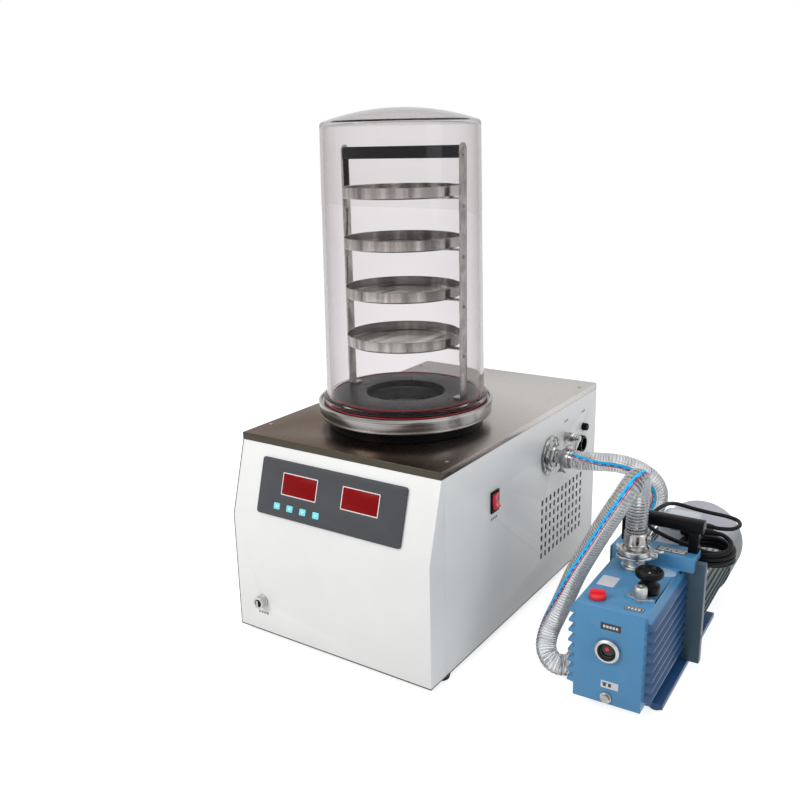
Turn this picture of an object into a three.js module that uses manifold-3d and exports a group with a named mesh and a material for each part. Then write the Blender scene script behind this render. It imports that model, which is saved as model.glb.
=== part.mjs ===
// Bench-top freeze dryer: refrigerated cabinet with a bell-jar drying chamber on top,
// joined by a vacuum hose to a rotary-vane vacuum pump that stands beside it.
// Millimetres, +X right, +Y to the back, +Z up, the bench at z = 0.
import * as THREE from "three";
import { mergeVertices } from "three/addons/utils/BufferGeometryUtils.js";
import Module from "manifold-3d";

const wasm = await Module();
wasm.setup();

// ---------------------------------------------------------------- driving dimensions

const gap = 0.3; // clearance between pieces that touch or nest
const slideGap = 0.4; // clearance round a piece that moves in a hole

const cabinet = {
  width: 405,
  depth: 648,
  height: 365, // to the top of the stainless top plate
  sheet: 2, // painted steel sheet
  footHeight: 11,
  footRadius: 15,
  footInset: 17.5, // of a foot's centre from the cabinet's side
  footY: 58,
  bendBelowTop: 140, // where the front turns from upright to sloped
  slopeSetback: 37, // how far the slope leans back at the top plate
  coverReturn: 47, // how far the front cover wraps round the sides
  topSheet: 2,
  topFold: 12.5,
  panFlange: 22,
};

const fascia = {
  left: -147,
  width: 295,
  low: 15.5, // distance up the slope from the bend line
  height: 96.5,
  thickness: 4,
  cornerRadius: 5,
  displayWidth: 69.5,
  displayHeight: 33.5,
  displayLow: 56.5,
  displayLefts: [-96.5, 28.5],
  displayProud: 1.2,
  keyWidth: 13,
  keyHeight: 11,
  keyCentre: 33.5,
  keyFirst: -104,
  keyPitch: 27.8,
  keyDepth: 2.6,
  keyTravel: 0.8,
};

const drain = {
  x: 56.5 - cabinet.width / 2,
  z: 72,
  flangeRadius: 12.5,
  flange: 3,
  barrelRadius: 10.5,
  barrel: 17,
  bore: 8,
  boreDepth: 9,
};

// The fittings of the right side keep their distance from its back and top edges.
const fromBack = (distance) => cabinet.depth - distance;
const fromTop = (distance) => cabinet.height - distance;

const grille = {
  yFirst: fromBack(249),
  zFirst: 80,
  columns: 11,
  rows: 7,
  pitchY: 18,
  pitchZ: 18,
  slotY: 8,
  slotZ: 12,
};

const rocker = {
  y: 206,
  z: fromTop(104),
  bezelY: 27,
  bezelZ: 38,
  bezel: 3,
  openY: 20,
  openZ: 30,
  wall: 1.5,
  depth: 13,
  rest: 9,
};

const port = {
  y: fromBack(222),
  z: fromTop(89),
  discRadius: 37.5,
  disc: 5,
  collarRadius: 21,
  collar: 10,
  neckRadius: 13,
  neck: 12,
};

const hose = { radius: 17.5, sides: 10, coupling: 22, clampWidth: 10, clampWall: 1.6 };

const vent = {
  y: fromBack(150),
  z: fromTop(73),
  radius: 10,
  body: 22,
  stemRadius: 4,
  leverLength: 24,
  leverWidth: 7,
  lever: 3,
};

const fuse = { y: fromBack(67), z: fromTop(75), radius: 7.5, cap: 11, shankRadius: 5 };

const inlet = {
  y: fromBack(80),
  z: fromTop(107),
  radius: 17,
  rim: 9,
  bore: 12,
  boreDepth: 14,
  shankRadius: 14,
  shank: 20,
};

const trap = { innerRadius: 107, wall: 1.5, depth: 165, flangeRadius: 131, flange: 2 };

const evaporator = { tubeRadius: 4, turns: 4, stepsPerTurn: 20, belowPlate: 30, pitch: 26 };

const compressor = { x: -95, y: fromBack(148), radius: 74, height: 176, plateX: 176, plateY: 120, plate: 3 };

const condenser = { length: 190, height: 184, core: 34, fromWall: 14, fins: 13, fin: 2, shroud: 3 };

const fan = {
  radius: 58,
  hubRadius: 16,
  hub: 16,
  blades: 5,
  blade: 2,
  bladePitch: 30,
  motorRadius: 24,
  motor: 34,
};

const chamber = {
  x: 6,
  y: 239,
  collarRadius: 137,
  collarLip: 3.5,
  collarHeight: 15.4,
  ringRadius: 154,
  ringHeight: 25,
  ringBore: 73,
  ringChamfer: 3,
  sealInner: 130,
  sealOuter: 146.5,
  seal: 4,
};

const jar = {
  footRadius: 145,
  foot: 6,
  baseRadius: 138.3,
  shoulderRadius: 133,
  wall: 5,
  straight: 468,
  crown: 19.5,
};

const rack = {
  baseRadius: 128,
  base: 12,
  baseBore: 70,
  postOuter: 119, // from the rack's axis to the outside of a post
  postWidth: 20,
  post: 3,
  postHeight: 422,
  foot: 14,
  strapWidth: 15,
  strap: 2,
  firstStrap: 88, // top of the lowest strap above the rack base
  strapPitch: 82.8,
  strapDrop: 22,
  barHeight: 20,
  bar: 4,
  barReturn: 16,
  barBelowTop: 4,
};

const tray = { radius: 100, height: 18, wall: 1.2 };

const pump = {
  x: cabinet.width / 2 + 196.5,
  y: 95.6,
  yaw: 2.1, // degrees
  boxWidth: 105.4,
  boxDepth: 190,
  boxTop: 181,
  fins: 8,
  finReach: 13,
  finPitch: 16.8,
  finFirst: 161,
  finTip: 4,
  finRoot: 11,
  boxBottom: 22,
  baseTop: 14,
  basePlate: 9.5,
  baseFront: 50,
  baseRear: 375,
  baseLeft: -8,
  baseRight: 125,
  footRadius: 11,
  saddleInset: 14,
  saddleFront: 60,
};

const head = { left: -4, right: 128, front: 175, rear: 218, height: 203 };

const stand = { left: -13, right: 143, front: 190.3, thickness: 14, top: 190.2 };

const handle = {
  left: 0,
  right: 134,
  middle: 205,
  legWidth: 16,
  legDepth: 16,
  legInset: 8,
  top: 262,
  barHeight: 25,
  barDepth: 25,
};

const motor = {
  u: 65,
  z: 97,
  radius: 73,
  rear: 440,
  seatTop: 173,
  footHalf: 34,
  footFront: 250,
  footRear: 350,
};

const cowl = { front: 402, rear: 518, radius: 76.5, wall: 1.8, dome: 16, airHole: 22 };

const motorFan = {
  radius: 60,
  front: 456,
  rear: 480,
  hubRadius: 15,
  shaftRadius: 6,
  shaftIn: 10,
  blades: 6,
  blade: 2.5,
};

const terminal = {
  left: 33,
  right: 97,
  front: 302,
  rear: 360,
  top: 209,
  edge: 7,
  glandV: 345,
  glandRadius: 7,
  glandLength: 22,
};

const sight = { z: 113, radius: 19, proud: 7, glassRadius: 12.5 };

const plug = { z: 33, radius: 9, proud: 6 };

const filler = { u: 25, v: 25, radius: 13, height: 14, collar: 3, spigotRadius: 8, spigot: 7 };

const exhaust = {
  u: 86,
  v: 78,
  capRadius: 21.5,
  cap: 9,
  neckRadius: 12,
  bodyRadius: 15,
  body: 18,
  top: 218,
};

const ballast = {
  u: 83,
  v: 47,
  earReach: 22,
  earRadius: 6,
  plate: 5,
  knobRadius: 10,
  knob: 18,
  stemRadius: 5,
};

const suction = {
  u: 41,
  v: 152,
  footRadius: 22,
  foot: 5,
  tubeRadius: 14.5,
  flangeRadius: 20,
  flangeHeight: 205,
  joint: 10,
};

// The spare length of the lead lies in one coil, two turns wide and three high.
const lead = {
  radius: 3.5,
  coilU: 127,
  coilV: 265.5,
  coilMeanRadius: 39,
  coilHalfWidth: 7.2,
  coilHalfHeight: 14.5,
};

const plugTop = { length: 38, width: 30, thickness: 19, u: 98, v: 285, pin: 17, relief: 22 };

// ---------------------------------------------------------------- finishes

const finish = (color, roughness, metalness, opacity = 1) =>
  new THREE.MeshStandardMaterial({ color, roughness, metalness, opacity, transparent: opacity < 1 });

const white = finish(0xe9e9e6, 0.45, 0.1);
const stainless = finish(0xb4b0ab, 0.3, 1);
const brightSteel = finish(0xc9c9c7, 0.2, 1);
const aluminium = finish(0xc4c2c0, 0.3, 1);
const blackPlastic = finish(0x17181a, 0.45, 0);
const blackRubber = finish(0x141414, 0.7, 0);
const darkGrey = finish(0x55575b, 0.5, 0);
const redLens = finish(0xa01515, 0.25, 0);
const keyCyan = finish(0x7fe6ea, 0.5, 0);
const redPlastic = finish(0xe0202c, 0.35, 0);
const redSilicone = finish(0xb01f22, 0.5, 0);
const clear = finish(0xf2efee, 0.05, 0, 0.3);
const copper = finish(0xb87040, 0.35, 1);
const pumpBlue = finish(0x3f7fb0, 0.5, 0.1);
const motorGrey = finish(0xa5a3ab, 0.5, 0.1);
const standTeal = finish(0x3a5a66, 0.5, 0.1);

// ---------------------------------------------------------------- shape helpers

const rad = THREE.MathUtils.degToRad;
const v2 = (x, y) => new THREE.Vector2(x, y);

// A closed three.js geometry as a manifold-3d solid.
function solid(geometry) {
  const bare = geometry.clone();
  bare.deleteAttribute("normal");
  bare.deleteAttribute("uv");
  const merged = mergeVertices(bare, 1e-4);
  return new wasm.Manifold(
    new wasm.Mesh({
      numProp: 3,
      vertProperties: new Float32Array(merged.attributes.position.array),
      triVerts: new Uint32Array(merged.index.array),
    }),
  );
}

function geometryOf(shape) {
  const mesh = shape.getMesh();
  const geometry = new THREE.BufferGeometry();
  geometry.setAttribute("position", new THREE.BufferAttribute(new Float32Array(mesh.vertProperties), 3));
  geometry.setIndex(new THREE.BufferAttribute(new Uint32Array(mesh.triVerts), 1));
  geometry.computeVertexNormals();
  return geometry;
}

const join = (first, ...others) =>
  geometryOf(others.reduce((sum, next) => sum.add(solid(next)), solid(first)));
const cut = (body, ...tools) =>
  geometryOf(tools.reduce((rest, tool) => rest.subtract(solid(tool)), solid(body)));

// A box from its low corner to its high corner.
function block(low, high) {
  const size = high.map((value, i) => value - low[i]);
  const geometry = new THREE.BoxGeometry(...size);
  return geometry.translate(...low.map((value, i) => value + size[i] / 2));
}

// A flat outline pushed up along z from low to high.
function prism(points, low, high) {
  const shape = new THREE.Shape(points.map(([x, y]) => v2(x, y)));
  return new THREE.ExtrudeGeometry(shape, { depth: high - low, bevelEnabled: false }).translate(0, 0, low);
}

// The outline lies in the y-z plane and is pushed along x.
const prismX = (points, low, high) => prism(points, low, high).applyMatrix4(cyclicAxes);
const cyclicAxes = new THREE.Matrix4().makeBasis(
  new THREE.Vector3(0, 1, 0),
  new THREE.Vector3(0, 0, 1),
  new THREE.Vector3(1, 0, 0),
);

// The outline lies in the x-z plane and is pushed along y.
const prismY = (points, low, high) =>
  prism(points, -high, -low).rotateX(Math.PI / 2);

// A round piece turned about the z axis from [radius, height] points.
function turned(points, segments = 32) {
  const outline = points.map(([r, z]) => v2(r, z));
  const closed = outline.at(-1).x > 0 ? [...outline, outline[0].clone()] : outline;
  const ordered = THREE.ShapeUtils.area(outline) > 0 ? closed : closed.reverse();
  return new THREE.LatheGeometry(ordered, segments).rotateX(Math.PI / 2);
}

const disc = (radius, low, high, segments = 32) =>
  turned([[0, low], [radius, low], [radius, high], [0, high]], segments);

const tube = (inner, outer, low, high, segments = 32) =>
  turned([[inner, low], [outer, low], [outer, high], [inner, high]], segments);

// Turn a z-axis piece so that it points along +x, -y or +y.
const alongX = (geometry) => geometry.rotateY(Math.PI / 2);
const alongFront = (geometry) => geometry.rotateX(Math.PI / 2);
const alongBack = (geometry) => geometry.rotateX(-Math.PI / 2);

// A rectangle with round corners, as a three.js shape centred on its own middle.
function roundedRectangle(width, height, radius) {
  const x = width / 2;
  const y = height / 2;
  const shape = new THREE.Shape();
  shape.moveTo(-x + radius, -y);
  shape.lineTo(x - radius, -y);
  shape.absarc(x - radius, -y + radius, radius, -Math.PI / 2, 0);
  shape.absarc(x - radius, y - radius, radius, 0, Math.PI / 2);
  shape.absarc(-x + radius, y - radius, radius, Math.PI / 2, Math.PI);
  shape.absarc(-x + radius, -y + radius, radius, Math.PI, Math.PI * 1.5);
  return shape;
}

function roundedPlate(width, height, radius, low, high) {
  const options = { depth: high - low, bevelEnabled: false, curveSegments: 4 };
  return new THREE.ExtrudeGeometry(roundedRectangle(width, height, radius), options).translate(0, 0, low);
}

// A round tube along a smooth curve through the given points.
function sweep(points, radius, sides, steps) {
  const curve = new THREE.CatmullRomCurve3(points.map((p) => new THREE.Vector3(...p)), false, "centripetal");
  const section = new THREE.Shape();
  section.absarc(0, 0, radius, 0, Math.PI * 2);
  const ring = new THREE.Shape(section.getSpacedPoints(sides).slice(0, sides));
  return new THREE.ExtrudeGeometry(ring, { steps, bevelEnabled: false, extrudePath: curve });
}

const machine = new THREE.Group();

function add(parent, name, geometry, material, place = [0, 0, 0], turn = [0, 0, 0]) {
  const mesh = new THREE.Mesh(geometry, material);
  mesh.name = name;
  mesh.position.set(...place);
  mesh.rotation.set(...turn);
  parent.add(mesh);
  return mesh;
}

// ---------------------------------------------------------------- levels that follow

const halfWidth = cabinet.width / 2;
const wallInside = halfWidth - cabinet.sheet;
const footX = halfWidth - cabinet.footInset;
const bendHeight = cabinet.height - cabinet.bendBelowTop;
const foldBottom = cabinet.height - cabinet.topFold;
const shellTop = foldBottom - gap;
const panBottom = cabinet.footHeight + gap;
const panTop = panBottom + cabinet.sheet;
const bodyBottom = panBottom;
const coverBack = cabinet.coverReturn;
const shellFront = coverBack + gap;
const slopeAngle = Math.atan2(shellTop - bendHeight, cabinet.slopeSetback);
const switchHalfY = rocker.openY / 2 + rocker.wall + gap;
const switchHalfZ = rocker.openZ / 2 + rocker.wall + gap;
const trapOuter = trap.innerRadius + trap.wall;
const collarTop = cabinet.height + gap + chamber.collarHeight;
const trapRim = collarTop + gap + trap.flange;
const ringBottom = trapRim + gap;
const ringTop = ringBottom + chamber.ringHeight;
const sealTop = ringTop + gap + chamber.seal;
const rackBaseTop = ringTop + gap + rack.base;

// ---------------------------------------------------------------- cabinet

// Folded front cover: upright below the bend, sloped above it, wrapped round both sides.
function frontCover() {
  const outline = (inset, low, high, back) => {
    const lean = (cabinet.slopeSetback * (high - bendHeight)) / (shellTop - bendHeight);
    return [[inset, low], [back, low], [back, high], [lean + inset, high], [inset, bendHeight]];
  };
  const outer = prismX(outline(0, bodyBottom, shellTop, coverBack), -halfWidth, halfWidth);
  const hollow = outline(cabinet.sheet, bodyBottom - 1, shellTop + 1, coverBack + 1);
  const inner = prismX(hollow, -wallInside, wallInside);
  const drainHole = alongFront(disc(drain.bore + gap, -9, 9)).translate(drain.x, 0, drain.z);
  return cut(outer, inner, drainHole);
}

// Sides and back folded from one sheet, with the fan grille and the holes for the fittings.
function cabinetShell() {
  const outline = [
    [-halfWidth, shellFront],
    [-wallInside, shellFront],
    [-wallInside, cabinet.depth - cabinet.sheet],
    [wallInside, cabinet.depth - cabinet.sheet],
    [wallInside, shellFront],
    [halfWidth, shellFront],
    [halfWidth, cabinet.depth],
    [-halfWidth, cabinet.depth],
  ];
  const slots = [];
  for (let column = 0; column < grille.columns; column += 1) {
    for (let row = 0; row < grille.rows; row += 1) {
      const y = grille.yFirst + column * grille.pitchY;
      const z = grille.zFirst + row * grille.pitchZ;
      const low = [wallInside - 1, y - grille.slotY / 2, z - grille.slotZ / 2];
      slots.push(block(low, [halfWidth + 1, y + grille.slotY / 2, z + grille.slotZ / 2]));
    }
  }
  const round = (radius, y, z) => alongX(disc(radius + gap, -4, 3, 24)).translate(halfWidth, y, z);
  const switchHole = block(
    [wallInside - 1, rocker.y - switchHalfY, rocker.z - switchHalfZ],
    [halfWidth + 1, rocker.y + switchHalfY, rocker.z + switchHalfZ],
  );
  return cut(
    prism(outline, bodyBottom, shellTop),
    ...slots,
    switchHole,
    round(port.neckRadius, port.y, port.z),
    round(vent.stemRadius, vent.y, vent.z),
    round(fuse.shankRadius, fuse.y, fuse.z),
    round(inlet.shankRadius, inlet.y, inlet.z),
  );
}

// Stainless top with a narrow fold down on all four sides and the hole for the cold trap.
function topPlate() {
  const front = cabinet.slopeSetback;
  const outer = block([-halfWidth, front, foldBottom], [halfWidth, cabinet.depth, cabinet.height]);
  const edge = cabinet.topSheet;
  const under = block(
    [-halfWidth + edge, front + edge, foldBottom - 1],
    [halfWidth - edge, cabinet.depth - edge, cabinet.height - edge],
  );
  const hole = disc(trapOuter + 1, foldBottom, cabinet.height + 1, 32).translate(chamber.x, chamber.y, 0);
  return cut(outer, under, hole);
}

// Base sheet with its two long edges turned up inside the shell.
function basePan() {
  const edge = wallInside - gap;
  const inner = edge - cabinet.sheet;
  const top = panBottom + cabinet.panFlange;
  const outline = [
    [-edge, panBottom],
    [edge, panBottom],
    [edge, top],
    [inner, top],
    [inner, panTop],
    [-inner, panTop],
    [-inner, top],
    [-edge, top],
  ];
  return prismY(outline, cabinet.sheet + gap, cabinet.depth - cabinet.sheet - gap);
}

add(machine, "front_cover", frontCover(), white);
add(machine, "cabinet_shell", cabinetShell(), white);
add(machine, "top_plate", topPlate(), stainless);
add(machine, "base_pan", basePan(), white);

const footPlaces = [
  ["front_left", -footX, cabinet.footY],
  ["front_right", footX, cabinet.footY],
  ["rear_left", -footX, cabinet.depth - cabinet.footY],
  ["rear_right", footX, cabinet.depth - cabinet.footY],
];
for (const [corner, x, y] of footPlaces) {
  const { footRadius, footHeight } = cabinet;
  const outline = [[0, 0], [footRadius, 0], [footRadius + 2, footHeight], [0, footHeight]];
  add(machine, `foot_${corner}`, turned(outline, 20), blackRubber, [x, y, 0]);
}

// ---------------------------------------------------------------- control panel on the slope

const slope = new THREE.Group();
slope.position.set(0, 0, bendHeight);
slope.rotation.x = slopeAngle;
machine.add(slope);

const fasciaTop = gap + fascia.thickness;

function fasciaPlate() {
  const plate = roundedPlate(fascia.width, fascia.height, fascia.cornerRadius, gap, fasciaTop).translate(
    fascia.left + fascia.width / 2,
    fascia.low + fascia.height / 2,
    0,
  );
  const windows = fascia.displayLefts.map((left) =>
    block(
      [left - gap, fascia.displayLow - gap, gap + 1.2],
      [left + fascia.displayWidth + gap, fascia.displayLow + fascia.displayHeight + gap, fasciaTop + 1],
    ),
  );
  const x = fascia.keyWidth / 2 + slideGap;
  const y = fascia.keyHeight / 2 + slideGap;
  const keyHoles = keyCentres().map((centre) =>
    block([centre - x, fascia.keyCentre - y, 0], [centre + x, fascia.keyCentre + y, fasciaTop + 1]),
  );
  return cut(plate, ...windows, ...keyHoles);
}

function keyCentres() {
  return [0, 1, 2, 3].map((i) => fascia.keyFirst + i * fascia.keyPitch);
}

add(slope, "control_fascia", fasciaPlate(), darkGrey);

fascia.displayLefts.forEach((left, i) => {
  const low = [left, fascia.displayLow, gap + 1.2 + gap];
  const top = fascia.displayLow + fascia.displayHeight;
  const high = [left + fascia.displayWidth, top, fasciaTop + fascia.displayProud];
  add(slope, `display_${i + 1}`, block(low, high), redLens);
});

keyCentres().forEach((centre, i) => {
  const key = roundedPlate(fascia.keyWidth, fascia.keyHeight, 1.5, -fascia.keyDepth, 0);
  add(slope, `key_${i + 1}`, key, keyCyan, [centre, fascia.keyCentre, fasciaTop + 0.6]);
});

// ---------------------------------------------------------------- fittings on the front and side

// Drain valve low on the front: a flanged barrel with a quarter-turn knob in its mouth.
function drainBody() {
  const outer = -gap;
  return alongBack(
    turned([
      [0, 16],
      [drain.bore, 16],
      [drain.bore, outer],
      [drain.flangeRadius, outer],
      [drain.flangeRadius, outer - drain.flange],
      [drain.barrelRadius, outer - drain.flange],
      [drain.barrelRadius, outer - drain.barrel],
      [drain.bore, outer - drain.barrel],
      [drain.bore, outer - drain.barrel + drain.boreDepth],
      [0, outer - drain.barrel + drain.boreDepth],
    ], 24),
  );
}

function drainKnob() {
  const seat = drain.boreDepth - gap;
  const stub = alongFront(disc(drain.bore - slideGap, -seat, -1.5, 24));
  const grip = block([-2.2, 0, -drain.bore + 1.4], [2.2, 4, drain.bore - 1.4]).translate(0, -2.5, 0);
  return join(stub, grip);
}

add(machine, "drain_valve_body", drainBody(), brightSteel, [drain.x, 0, drain.z]);
add(machine, "drain_valve_knob", drainKnob(), blackPlastic, [drain.x, -gap - drain.barrel, drain.z]);

// Power switch: a snap-in housing and a rocker that pivots in it.
function switchHousing() {
  const shankY = rocker.openY / 2 + rocker.wall;
  const shankZ = rocker.openZ / 2 + rocker.wall;
  const face = gap + rocker.bezel;
  const flange = block(
    [gap, -rocker.bezelY / 2, -rocker.bezelZ / 2],
    [face, rocker.bezelY / 2, rocker.bezelZ / 2],
  );
  const shank = block([-rocker.depth, -shankY, -shankZ], [gap + 1, shankY, shankZ]);
  const open = block(
    [-rocker.depth + 2, -rocker.openY / 2, -rocker.openZ / 2],
    [face + 1, rocker.openY / 2, rocker.openZ / 2],
  );
  return geometryOf(solid(flange).add(solid(shank)).subtract(solid(open)));
}

function rockerButton() {
  const half = rocker.openY / 2 - slideGap;
  const outline = [[-8, -7], [-8, 7], [-2, 12.6], [6.5, 13], [3.4, 0], [6.5, -13], [-2, -12.6]];
  return prismY(outline, -half, half).rotateY(rad(-rocker.rest));
}

const rockerPivot = [halfWidth, rocker.y, rocker.z];
add(machine, "switch_housing", switchHousing(), blackPlastic, rockerPivot);
add(machine, "power_rocker", rockerButton(), redPlastic, rockerPivot);

// Vacuum port: flange plate, collar and neck turned in one piece, with the coupling for the hose.
const portReach = gap + port.disc + port.collar + port.neck + hose.coupling;

function vacuumPort() {
  const discFace = gap + port.disc;
  const steps = [gap, discFace, discFace + port.collar, discFace + port.collar + port.neck];
  return alongX(
    turned([
      [0, -22],
      [port.neckRadius, -22],
      [port.neckRadius, steps[0]],
      [port.discRadius, steps[0]],
      [port.discRadius, steps[1]],
      [port.collarRadius, steps[1]],
      [port.collarRadius, steps[2]],
      [port.neckRadius, steps[2]],
      [port.neckRadius, steps[3]],
      [hose.radius, steps[3]],
      [hose.radius, portReach],
      [0, portReach],
    ], 28),
  );
}

// Worm-drive band round the hose end, with its screw housing on top.
function hoseClamp() {
  const inner = hose.radius + gap;
  const outer = inner + hose.clampWall;
  const band = tube(inner, outer, 0, hose.clampWidth, 28);
  const screw = alongFront(disc(3.6, -9, 9, 12)).translate(outer + 2.4, 0, hose.clampWidth / 2);
  return join(band, screw);
}

add(machine, "vacuum_port", vacuumPort(), stainless, [halfWidth, port.y, port.z]);
add(
  machine,
  "port_clamp",
  hoseClamp().rotateZ(Math.PI).rotateY(Math.PI / 2),
  brightSteel,
  [halfWidth + portReach - hose.coupling + 6, port.y, port.z],
);

// Vent valve: hexagonal body with a lever on its stem.
function ventBody() {
  const hex = disc(vent.radius, gap, gap + vent.body, 6);
  const stem = disc(vent.stemRadius, -14, gap + 1, 16);
  const nose = disc(vent.stemRadius, gap + vent.body - 1, gap + vent.body + 4, 16);
  return alongX(join(hex, stem, nose));
}

function ventLever() {
  const hub = disc(6.5, 0, vent.lever, 16);
  const arm = block([0, -vent.leverWidth / 2, 0], [vent.leverLength, vent.leverWidth / 2, vent.lever]);
  return alongX(join(hub, arm));
}

const ventFace = halfWidth + gap + vent.body + 4 + gap;
add(machine, "vent_valve_body", ventBody(), brightSteel, [halfWidth, vent.y, vent.z]);
add(machine, "vent_valve_lever", ventLever().rotateX(rad(-50)), brightSteel, [ventFace, vent.y, vent.z]);

function fuseCap() {
  const shank = disc(fuse.shankRadius, -16, gap + 1, 20);
  const cap = turned([
    [0, gap],
    [fuse.radius, gap],
    [fuse.radius, fuse.cap - 1.5],
    [fuse.radius - 1.5, fuse.cap],
    [0, fuse.cap],
  ], 20);
  const slot = block([-fuse.radius, -0.8, fuse.cap - 1.6], [fuse.radius, 0.8, fuse.cap + 1]);
  return alongX(geometryOf(solid(shank).add(solid(cap)).subtract(solid(slot))));
}

add(machine, "fuse_cap", fuseCap(), blackPlastic, [halfWidth, fuse.y, fuse.z]);

// Round mains inlet with a deep mouth.
function mainsInlet() {
  const top = gap + inlet.rim;
  return alongX(
    turned([
      [0, -inlet.shank],
      [inlet.shankRadius, -inlet.shank],
      [inlet.shankRadius, gap],
      [inlet.radius, gap],
      [inlet.radius, top],
      [inlet.bore, top],
      [inlet.bore, top - inlet.boreDepth],
      [0, top - inlet.boreDepth],
    ], 24),
  );
}

add(machine, "mains_inlet", mainsInlet(), blackPlastic, [halfWidth, inlet.y, inlet.z]);

// ---------------------------------------------------------------- refrigeration inside the cabinet

function coldTrap() {
  const low = trapRim - trap.depth;
  return turned([
    [0, low],
    [trapOuter, low],
    [trapOuter, trapRim - trap.flange],
    [trap.flangeRadius, trapRim - trap.flange],
    [trap.flangeRadius, trapRim],
    [trap.innerRadius, trapRim],
    [trap.innerRadius, low + trap.wall],
    [0, low + trap.wall],
  ], 32);
}

// Copper tube wound round the trap, a smooth helix.
function evaporatorCoil() {
  const steps = evaporator.turns * evaporator.stepsPerTurn;
  const radius = (trapOuter + evaporator.tubeRadius + gap) / Math.cos(Math.PI / evaporator.stepsPerTurn);
  const top = cabinet.height - cabinet.topSheet - evaporator.belowPlate;
  class Helix extends THREE.Curve {
    getPoint(t, target = new THREE.Vector3()) {
      const angle = t * evaporator.turns * Math.PI * 2;
      const z = top - t * evaporator.turns * evaporator.pitch;
      return target.set(radius * Math.cos(angle), radius * Math.sin(angle), z);
    }
  }
  const ring = new THREE.Shape();
  ring.absarc(0, 0, evaporator.tubeRadius, 0, Math.PI * 2);
  const section = new THREE.Shape(ring.getSpacedPoints(6).slice(0, 6));
  return new THREE.ExtrudeGeometry(section, { steps, bevelEnabled: false, extrudePath: new Helix() });
}

// Hermetic compressor: drawn steel shell on a mounting plate.
function compressorShell() {
  const r = compressor.radius;
  const top = compressor.height;
  const low = compressor.plate;
  const shell = turned([
    [0, low - 1],
    [r * 0.8, low - 1],
    [r * 0.95, low + 10],
    [r, low + 28],
    [r, top - 45],
    [r * 0.94, top - 22],
    [r * 0.6, top - 4],
    [0, top],
  ], 24);
  const plate = roundedPlate(compressor.plateX, compressor.plateY, 12, 0, compressor.plate);
  return join(plate, shell);
}

// Finned condenser with its fan shroud, and the bracket that carries the fan motor.
const coreOuter = wallInside - condenser.fromWall;
const coreInner = coreOuter - condenser.core;
const condenserY = grille.yFirst + ((grille.columns - 1) * grille.pitchY) / 2;
const fanZ = grille.zFirst + ((grille.rows - 1) * grille.pitchZ) / 2;
const shroudInner = coreInner - condenser.shroud;
const fanFront = shroudInner - 6;
const motorFace = fanFront - fan.hub - 3;

function condenserBlock() {
  const low = panTop + gap;
  const high = low + condenser.height;
  const half = condenser.length / 2;
  const pitch = (condenser.length - condenser.fin) / (condenser.fins - 1);
  const backbone = coreInner + 12;
  const comb = [[coreInner, -half]];
  for (let i = 0; i < condenser.fins; i += 1) {
    const y = -half + i * pitch;
    comb.push([coreOuter, y], [coreOuter, y + condenser.fin]);
    if (i < condenser.fins - 1) {
      comb.push([backbone, y + condenser.fin], [backbone, y + pitch]);
    }
  }
  comb.push([coreInner, half]);
  const core = prism(comb, low, high).translate(0, condenserY, 0);
  const shroud = block([shroudInner, condenserY - half, low], [coreInner + 1, condenserY + half, high]);
  const mouth = alongX(disc(fan.radius + 5, shroudInner - 1, coreInner + 8, 28))
    .translate(0, condenserY, fanZ);
  const reach = fan.radius + 8;
  const barBack = motorFace - fan.motor;
  const arm = (z) => block([barBack, condenserY - 9, z - 2], [shroudInner + 1, condenserY + 9, z + 2]);
  const crossbar = block(
    [barBack - 4, condenserY - 9, fanZ - reach - 2],
    [barBack + 1, condenserY + 9, fanZ + reach + 2],
  );
  const fanMotor = alongX(disc(fan.motorRadius, barBack - 1, motorFace, 20)).translate(0, condenserY, fanZ);
  return geometryOf(
    solid(core)
      .add(solid(shroud))
      .subtract(solid(mouth))
      .add(solid(arm(fanZ - reach)))
      .add(solid(arm(fanZ + reach)))
      .add(solid(crossbar))
      .add(solid(fanMotor)),
  );
}

function fanWheel(radius, hubRadius, length, blades, thickness, pitchAngle) {
  const hub = disc(hubRadius, 0, length, 16);
  const chord = length * 0.55;
  const blade = block([hubRadius * 0.6, -chord, -thickness / 2], [radius, chord, thickness / 2])
    .rotateX(rad(pitchAngle))
    .translate(0, 0, length / 2);
  const ring = Array.from({ length: blades }, (_, i) => blade.clone().rotateZ((i * Math.PI * 2) / blades));
  return join(hub, ...ring);
}

add(machine, "cold_trap", coldTrap(), stainless, [chamber.x, chamber.y, 0]);
add(machine, "evaporator_coil", evaporatorCoil(), copper, [chamber.x, chamber.y, 0]);
add(machine, "compressor", compressorShell(), blackPlastic, [compressor.x, compressor.y, panTop + gap]);
add(machine, "condenser", condenserBlock(), aluminium);
add(
  machine,
  "condenser_fan",
  alongX(fanWheel(fan.radius, fan.hubRadius, fan.hub, fan.blades, fan.blade, fan.bladePitch)),
  blackPlastic,
  [motorFace + gap, condenserY, fanZ],
);

// ---------------------------------------------------------------- drying chamber

const tower = new THREE.Group();
tower.position.set(chamber.x, chamber.y, 0);
machine.add(tower);

// Black collar that lifts the chamber ring off the top plate.
function chamberCollar() {
  const low = cabinet.height + gap;
  const lip = chamber.collarRadius + chamber.collarLip;
  const inner = trapOuter + 1;
  return turned([
    [inner, low],
    [chamber.collarRadius, low],
    [chamber.collarRadius, collarTop - 4],
    [lip, collarTop - 3],
    [lip, collarTop],
    [inner, collarTop],
  ], 40);
}

// Turned aluminium ring: carries the seal, the jar and the rack.
function chamberRing() {
  const r = chamber.ringRadius;
  const c = chamber.ringChamfer;
  return turned([
    [chamber.ringBore, ringBottom],
    [r - c * 2, ringBottom],
    [r - 1, ringBottom + c],
    [r - 1, ringBottom + 8],
    [r, ringBottom + 9],
    [r, ringTop - c],
    [r - c, ringTop],
    [chamber.ringBore, ringTop],
  ], 40);
}

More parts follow.
